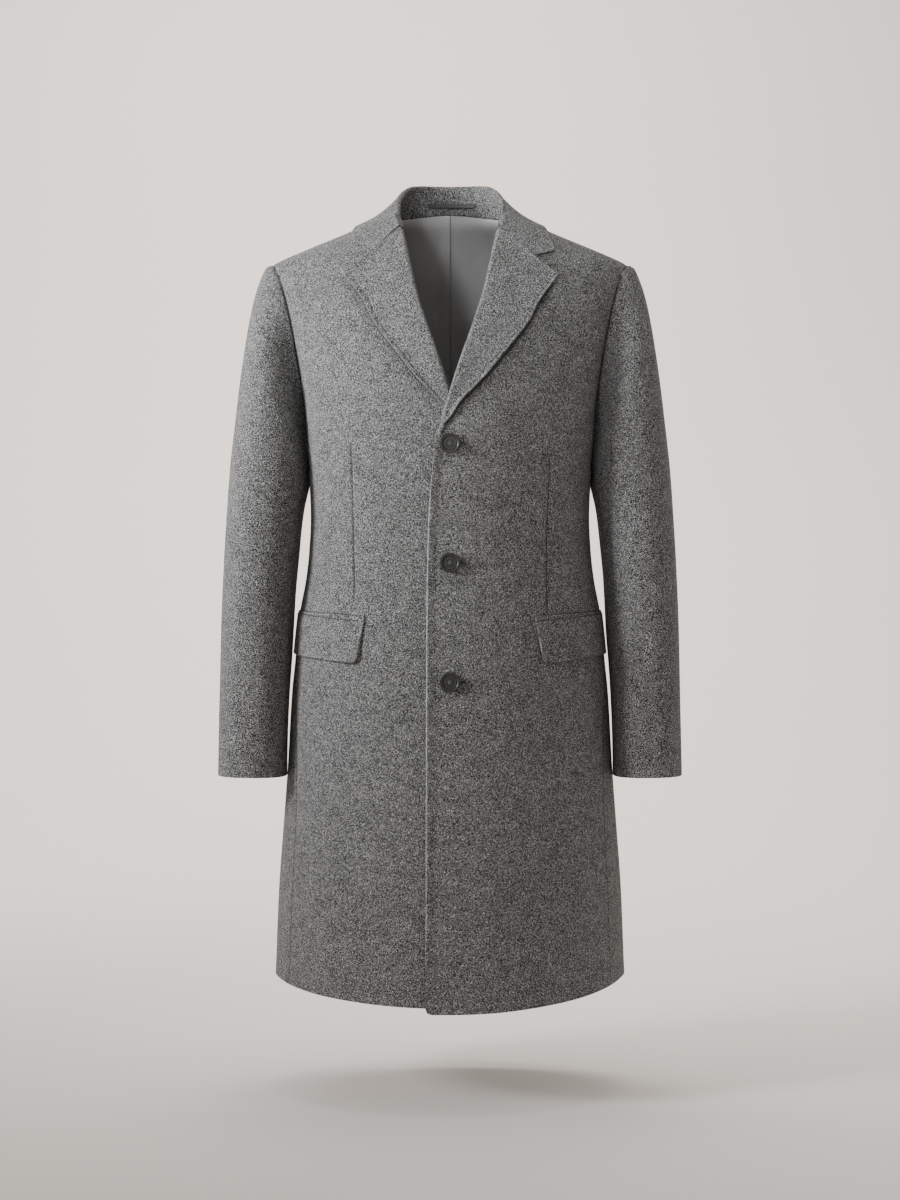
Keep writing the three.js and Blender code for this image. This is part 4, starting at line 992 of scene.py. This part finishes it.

# %% [markdown]
# ## Buttons and buttonholes
# The buttons are horn, turned with a raised rim and a dished middle, with four holes and a
# cross of thread. Their dark rings, at the rim's edge, in its groove and round the middle,
# are painted shade, and each hole is a near-black disc of painted shade. Each button passes
# through a stitched buttonhole in the upper front, whose end shows beside it as a dark cord
# of painted shade. A profile turned about its axis gives the disc, and round cords along
# worked-out lines give thread, stitches and rings.


# %% Small shapes
def on_front(name, verts, faces, material, z, lift, x=0.0):
    """Puts a small piece made round the axis +Y onto the upper front at height z."""
    angle = angle_at_x(x, z) if x else np.array(0.0)
    normal = body_normal(angle, np.array(float(z)))
    right = unit(np.array([1.0, 0, 0]) - normal * normal[0])
    axes = np.stack([right, normal, np.cross(right, normal)])
    place = body_point(angle, np.array(float(z))) + normal * lift
    return mesh_object(name, verts @ axes + place, faces, material)


def band_faces(rows, count):
    """Four-sided faces between rings of count points, closed round."""
    i, j = np.meshgrid(np.arange(rows - 1), np.arange(count), indexing="ij")
    k = (j + 1) % count
    low, high = i * count, (i + 1) * count
    return np.stack([low + j, low + k, high + k, high + j], -1).reshape(-1, 4)


def lathe(profile, count):
    """Turns pairs of radius and height about +Y; both ends lie on the axis."""
    radius, height = np.array(profile).T[:, :, None]
    a = np.linspace(0, 2 * np.pi, count, endpoint=False)
    ring = np.stack(np.broadcast_arrays(radius * np.cos(a), height, radius * np.sin(a)), -1)
    return ring.reshape(-1, 3), band_faces(len(profile), count)


def tube(points, radius, count=8, squash=1.0):
    """A round cord along a line of points, closed at both ends."""
    points = np.asarray(points, float)
    way = unit(np.gradient(points, axis=0))
    side = unit(np.cross(way, [0, 1, 0.01]))
    up = np.cross(side, way)
    a = np.linspace(0, 2 * np.pi, count, endpoint=False)
    ends = np.sin(np.linspace(0, np.pi, len(points))) ** 0.25 * radius + 0.02
    across, rise = np.cos(a)[:, None], np.sin(a)[:, None] * squash
    ring = points[:, None] + (side[:, None] * across + up[:, None] * rise) * ends[:, None, None]
    return ring.reshape(-1, 3), band_faces(len(points), count)


def joined(parts):
    """Many small pieces as one list of points and one of faces."""
    verts, faces, base = [], [], 0
    for v, f in parts:
        verts.append(v)
        faces.append(f + base)
        base += len(v)
    return np.concatenate(verts), np.concatenate(faces)


# %% Button shape
BUTTON_RADIUS, BUTTON_THICK, BUTTON_SHANK, BUTTON_GAP = 12.5, 4, 2.4, 1
BUTTON_HEIGHTS = {"top": -290.3, "middle": -437, "bottom": -582.7}
HOLE, SPREAD = 1.0, 2.4
# Each hole is a shallow near-black disc on the face: painted shade where the hole would be.
HOLE_PROFILE = [(0, 2.0), (0.5, 2.5), (HOLE, 2.62), (HOLE + 0.12, 2.55), (HOLE + 0.1, 2.2), (0, 2.1)]
R, T = BUTTON_RADIUS, BUTTON_THICK
# radius and height of each dark ring of painted shade, and its thickness
SHADE_RINGS = [(R - 0.8, 3.55, 0.75), (R - 4.1, 2.3, 0.4), (4.6, 2.45, 0.45)]
PROFILE = [
    (0, -BUTTON_SHANK), (2.6, -BUTTON_SHANK), (2.4, -1.2), (2.6, -0.2), (4, 0), (R - 3, 0), (R - 1.4, 0.3),
    (R - 0.5, 1.0), (R - 0.05, 1.9), (R, 2.4), (R - 0.15, 3.0), (R - 0.6, 3.6), (R - 1.3, 3.95),
    (R - 2.0, T), (R - 2.7, 3.85), (R - 3.2, 3.3), (R - 3.6, 2.6), (R - 4.0, 2.3), (R - 4.5, 2.35),
    (R - 5.0, 2.7), (R - 5.6, 2.75), (R - 6.4, 2.6), (R - 8, 2.5), (0.01, 2.45), (0, 2.45),
]
button_verts, button_faces = lathe(PROFILE, 64)
painted_shade_parts, thread_parts = [], []
for sx in (-1, 1):
    for sz in (-1, 1):
        well = lathe(HOLE_PROFILE, 20)
        painted_shade_parts.append((well[0] + [sx * SPREAD, 0, sz * SPREAD], well[1]))
for ring_radius, height, thick in SHADE_RINGS:
    a = np.linspace(-np.pi / 2, 1.5 * np.pi, 65)
    ring = np.stack([ring_radius * np.cos(a), np.full(65, height), ring_radius * np.sin(a)], -1)
    painted_shade_parts.append(tube(ring, thick, 8))
for sign in (-1, 1):
    for shift in (-0.45, 0.0, 0.45):
        s = np.linspace(-1, 1, 15)
        arch = 2.45 + 0.9 * np.cos(s * np.pi / 2) ** 0.6 + (0.25 if sign > 0 else 0)
        across, up = s * SPREAD + shift * 0.7, s * SPREAD * sign - shift * 0.7 * sign
        thread_parts.append(tube(np.stack([across, arch, up], -1), 0.3))
print("button points", len(button_verts))

# %% Buttonholes
SLIT_X, SLIT_HALF = 7.3, 12.5
STITCH_THICK, END_STITCHES = 0.42, 7

# Near-black painted shade for the buttons' holes and rings and for the buttonholes' slits.
painted_shade_black = thread_material("button_painted_shade", (0.004, 0.004, 0.004), (0.008, 0.008, 0.008))
stitch_parts = []
for s in (-1, 1):
    xs = np.linspace(-12, 12, 27)
    for x in xs:
        stitch = [(x, 0.1, s * 0.5), (x, 0.5, s * 1.0), (x, 0.45, s * 1.8), (x, 0.05, s * 2.2)]
        stitch_parts.append(tube(stitch, STITCH_THICK, 6))
for a in np.linspace(-0.5, 0.5, END_STITCHES) * np.pi:
    steps = ((0.4, 0.1, 0.5), (0.9, 0.5, 1.0), (1.9, 0.4, 1.7), (2.3, 0.05, 2.0))
    stitch = [(12 + np.cos(a) * far, high, np.sin(a) * wide) for far, high, wide in steps]
    stitch_parts.append(tube(stitch, STITCH_THICK, 6))
slit_x = np.linspace(-SLIT_HALF, SLIT_HALF, 20)
# The slit is a dark cord of painted shade along the buttonhole's opening.
slit = tube(np.stack([slit_x, np.full(20, 0.25), np.zeros(20)], -1), 0.6, 8, 0.5)

# %% Buttons in place
for name, z in BUTTON_HEIGHTS.items():
    cloth_lift = float(top_lift(0, z))
    lift = cloth_lift + BUTTON_GAP + BUTTON_SHANK
    piece = on_front(f"horn_button_{name}", button_verts, button_faces, horn, z, lift)
    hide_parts(f"button_{name}")
    on_front(f"button_holes_rings_shade_{name}", *joined(painted_shade_parts), painted_shade_black, z, lift)
    on_front(f"button_thread_{name}", *joined(thread_parts), thread, z, lift)
    stitches = (f"buttonhole_stitches_{name}", *joined(stitch_parts), wool, z, cloth_lift - 0.1)
    on_front(*stitches, SLIT_X)
    cut_ = (f"buttonhole_slit_{name}", *slit, painted_shade_black, z, cloth_lift - 0.05)
    on_front(*cut_, SLIT_X)
    print(f"button {name} at {z} mm, {lift:.1f} mm off the body surface")

# %% [markdown]
# ## Seam lines and stitches
# A seam in thick flannel shows as a fine dark line where the thread pulls the cloth in: its near-black cord
# is thread and painted shade.
# A dark cord lies at the bottom of the ditch of each seam and dart. Along the lapels,
# short stitches run parallel to the edge.


# %% Seam lines
def seam_line(name, angle, z, lift, radius, mirror=False, material=None):
    """A cord along a line of the body surface, moved out by lift; by default in the near-black seam thread,
    which is also painted shade.
    """
    points = body_offset(angle, z, lift)
    if mirror:
        points = points * [-1, 1, 1]
    verts, faces = tube(points, radius, 6)
    mesh_object(name, verts, faces, material or seam_thread_and_shade)
    print(f"{name}: {len(verts)} points")


for word, mirror in SIDES:
    line, low, high = (DART_UNDER, -486, -290) if mirror else (DART_UPPER, -508, -291)
    z = np.linspace(low, high, 80)
    x = at(line, "x", z)
    over = np.zeros_like(x) if mirror else top_lift(x, z)
    depth = dart(x, z, line, low - 4, high + 4)
    seam_line(f"dart_line_{word}", angle_at_x(x, z), z, over + depth + 0.3, 0.7, mirror)
    z = np.linspace(HEM_Z + 3, UNDERARM_Z - 4, 120)
    seam_line(f"side_seam_{word}", outer_angle(z, False), z, -0.6, 0.85, mirror)
    z = np.linspace(SHOULDER_TIP_Z - 4, UNDERARM_Z + 6, 110)
    for face in (False, True):
        seam_line(f"armhole_line_{word}_{face}", outer_angle(z, face), z, -SEAM_DITCH - 0.45, 1.05, mirror)
    u = np.linspace(0, 0.995, 60)
    top = mix(FLAP_TOP_FRONT, FLAP_TOP_BACK, u)
    for part, up in (("top", mix(7, 3, u) + 0.5), ("foot", np.zeros_like(u) + SEAM_GAP / 2)):
        z = top + up
        angle = mix(angle_at_x(FLAP_FRONT, z), FLAP_BACK, u)
        lift = 0.35 if part == "top" else LAY_GAP + 1.3
        seam_line(f"welt_{part}_{word}", angle, z, lift, 0.8, mirror)

z = np.linspace(HEM_Z + 3, NECK_POINT_Z, 120)
centre = np.full_like(z, np.pi)
seam_line("centre_back_line", centre, z + nape_shift(centre, z), -0.6, 0.85)


# %% [markdown]
# The folded edges are pressed and catch the light. A slim roll of wool in paler shades,
# which is painted highlight, follows the upper front's edge and the edge of the under
# lapel. A roll of the plain wool lies in each gorge seam, where the cloth is pressed nearly flat.

# %% Edge rolls
# The paler wool on these two rolls is painted highlight.
z = np.linspace(HEM_Z + HEM_CORNER, BREAK_Z + 4, 150)
x = at(FRONT_LINE, "x", z) + 0.7
angle = angle_at_x(x, z)
height = z + hem_shift(angle, z, UPPER_DROP)
edge_lift = top_lift(x, height) + EDGE_ROLL * (1 - smooth(BREAK_Z - 12, BREAK_Z + 6, height)) - 0.9
seam_line("front_edge_roll", angle, height, edge_lift, 1.35, False, painted_highlight_edge)
z = np.linspace(-246, LAPEL_TIP[1] - 2, 90)
roll = at(FRONT_LINE, "x", z)
x = roll + (at(LAPEL_EDGE, "x", z) - roll) * UNDER_LAPEL_WIDTH - 0.7
lift = LAY_GAP + UNDER_LAPEL_SPRING * smooth(BREAK_Z, -235, z) + LAPEL_WOOL - 0.8
seam_line("lapel_edge_roll_right", angle_at_x(x, z), z, lift, 0.9, True, painted_highlight_wool)

for word, mirror, spring in (("left", False, LAPEL_SPRING), ("right", True, UNDER_LAPEL_SPRING)):
    z = np.linspace(NOTCH[1] + 1, -13, 40)
    x = lapel_edge_x(z)
    free = 1 - smooth(-60, -10, z)
    lift = (0 if mirror else top_lift(x, z)) + LAY_GAP + spring * free + LAPEL_WOOL - 0.9
    seam_line(f"gorge_{word}", angle_at_x(x, z), z, lift, 1.0, mirror, wool)

# %% [markdown]
# The free edge of a lapel leaves a narrow gap over the chest, which reads as the darkest
# line of the coat. A dark cord of painted shade fills the bottom of it, tapering towards both ends.

# %% Painted shade under the lapels
for word, mirror, low, width, radius in (
    ("left", False, BREAK_Z + 10, 1, 1.7), ("right", True, -240, UNDER_LAPEL_WIDTH, 0.8),
):
    z = np.linspace(low, LAPEL_TIP[1] - 8, 90)
    roll = at(FRONT_LINE, "x", z)
    x = roll + (at(LAPEL_EDGE, "x", z) - roll) * width + 0.9
    over = 0 if mirror else top_lift(x, z)
    lift = over - 0.7 * radius
    seam_line(f"lapel_painted_shade_{word}", angle_at_x(x, z), z, lift, radius, mirror)

# %% Edge stitches
def edge_stitches(name, spring, width, low, upper):
    """Short stitches 6 mm inside a lapel's edge, one every 4.2 mm of height."""
    parts = []
    for z in np.arange(low, LAPEL_TIP[1] - 6, 4.2):
        height = np.linspace(z, z + 2.7, 5)
        roll = at(FRONT_LINE, "x", height)
        middle = roll + ROLL_RADIUS
        edge = roll + (at(LAPEL_EDGE, "x", height) - roll) * width
        x = edge - 6
        u = (x - middle) / (edge - middle)
        free = smooth(BREAK_Z, -235, height)
        over = top_lift(x, height) if upper else np.zeros_like(x)
        rise = ROLL_RISE * smooth(BREAK_Z + 20, -215, height) * (1 - smooth(0, 0.85, u))
        lift = over + LAY_GAP + spring * u**3 * free + rise + LAPEL_WOOL - 0.35
        points = body_offset(angle_at_x(x, height), height, lift)
        parts.append(tube(points if upper else points * [-1, 1, 1], 0.75, 6))
    verts, faces = joined(parts)
    mesh_object(name, verts, faces, seam_thread_and_shade)


edge_stitches("lapel_stitches_left", LAPEL_SPRING, 1, -236, True)
edge_stitches("lapel_stitches_right", UNDER_LAPEL_SPRING, UNDER_LAPEL_WIDTH, -232, False)

# %% [markdown]


# %% [markdown]
# ## Studio
# The coat hangs in the air before a seamless pale backdrop that curves up from the floor,
# far enough back to be walked round. A soft light on the viewer's left does most of the
# work, a top light throws the pool of shadow on the floor, a weak one in front reaches the
# lining, one behind lights the backdrop, and the pale room fills the right side.

# %% Backdrop
FLOOR_Z = -1.108
WALL_Y = 4.0
BEND = 2.0

across = np.linspace(-6, 6, 25)
angle = np.linspace(0, np.pi / 2, 33)
line = [(-4.5, FLOOR_Z), (-2.5, FLOOR_Z), (0, FLOOR_Z)]
line += [(WALL_Y - BEND + BEND * np.sin(a), FLOOR_Z + BEND - BEND * np.cos(a)) for a in angle]
line += [(WALL_Y, FLOOR_Z + 3), (WALL_Y, FLOOR_Z + 6)]
line = np.array(line)
verts = np.stack(np.broadcast_arrays(across[None, :], line[:, :1], line[:, 1:]), -1).reshape(-1, 3)
rows, cols = len(line), len(across)
i, j = np.meshgrid(np.arange(rows - 1), np.arange(cols - 1), indexing="ij")
a = (i * cols + j).ravel()
mesh = bpy.data.meshes.new("backdrop")
mesh.from_pydata(verts.tolist(), [], np.stack([a, a + 1, a + cols + 1, a + cols], 1).tolist())
mesh.shade_smooth()
backdrop = bpy.data.objects.new("backdrop", mesh)
bpy.context.scene.collection.objects.link(backdrop)
paper, tree, shader = nodes_of("backdrop_paper")
place = tree.nodes.new("ShaderNodeTexCoord").outputs["Object"]
soft = ramp(tree, noise(tree, place, 0.6, 1.0), [(0.3, (0.80, 0.745, 0.70)), (0.7, (0.82, 0.765, 0.72))])
tree.links.new(soft, shader.inputs["Base Color"])
shader.inputs["Roughness"].default_value = 0.9
shader.inputs["Specular IOR Level"].default_value = 0.1
mesh.materials.append(paper)
print("backdrop points", len(verts))


# %% Lights
def area_light(name, place, target, size, watts, colour, spread=180):
    data = bpy.data.lights.new(name, "AREA")
    data.shape = "RECTANGLE"
    data.size, data.size_y = size
    data.energy = watts
    data.color = colour
    data.spread = spread * DEGREE
    made = bpy.data.objects.new(name, data)
    made.location = place
    way = Vector(target) - Vector(place)
    made.rotation_euler = way.to_track_quat("-Z", "Y").to_euler()
    bpy.context.scene.collection.objects.link(made)
    return made


area_light("key", (-1.52, -0.8, 0.06), (0, 0, -0.15), (0.45, 0.45), 9.8, (1.0, 1.0, 1.03), 74)
area_light("top", (0.05, 0.15, 1.9), (0.03, 0, -1), (1.1, 0.9), 7.6, (1.0, 0.98, 0.96), 110)
area_light("wall", (-0.45, 1.3, 2.2), (-0.2, 3.6, -0.4), (2.8, 0.8), 130, (1.0, 0.975, 0.95), 145)
area_light("front", (-0.75, -1.85, 0.2), (0.02, 0, -0.06), (0.4, 0.4), 0.3, (1.0, 1.0, 1.03), 19)
world = bpy.data.worlds.new("studio")
world.use_nodes = True
world.node_tree.nodes["Background"].inputs["Color"].default_value = (1.0, 0.99, 0.965, 1)
world.node_tree.nodes["Background"].inputs["Strength"].default_value = 0.64
bpy.context.scene.world = world
print("lights", len(bpy.data.lights))
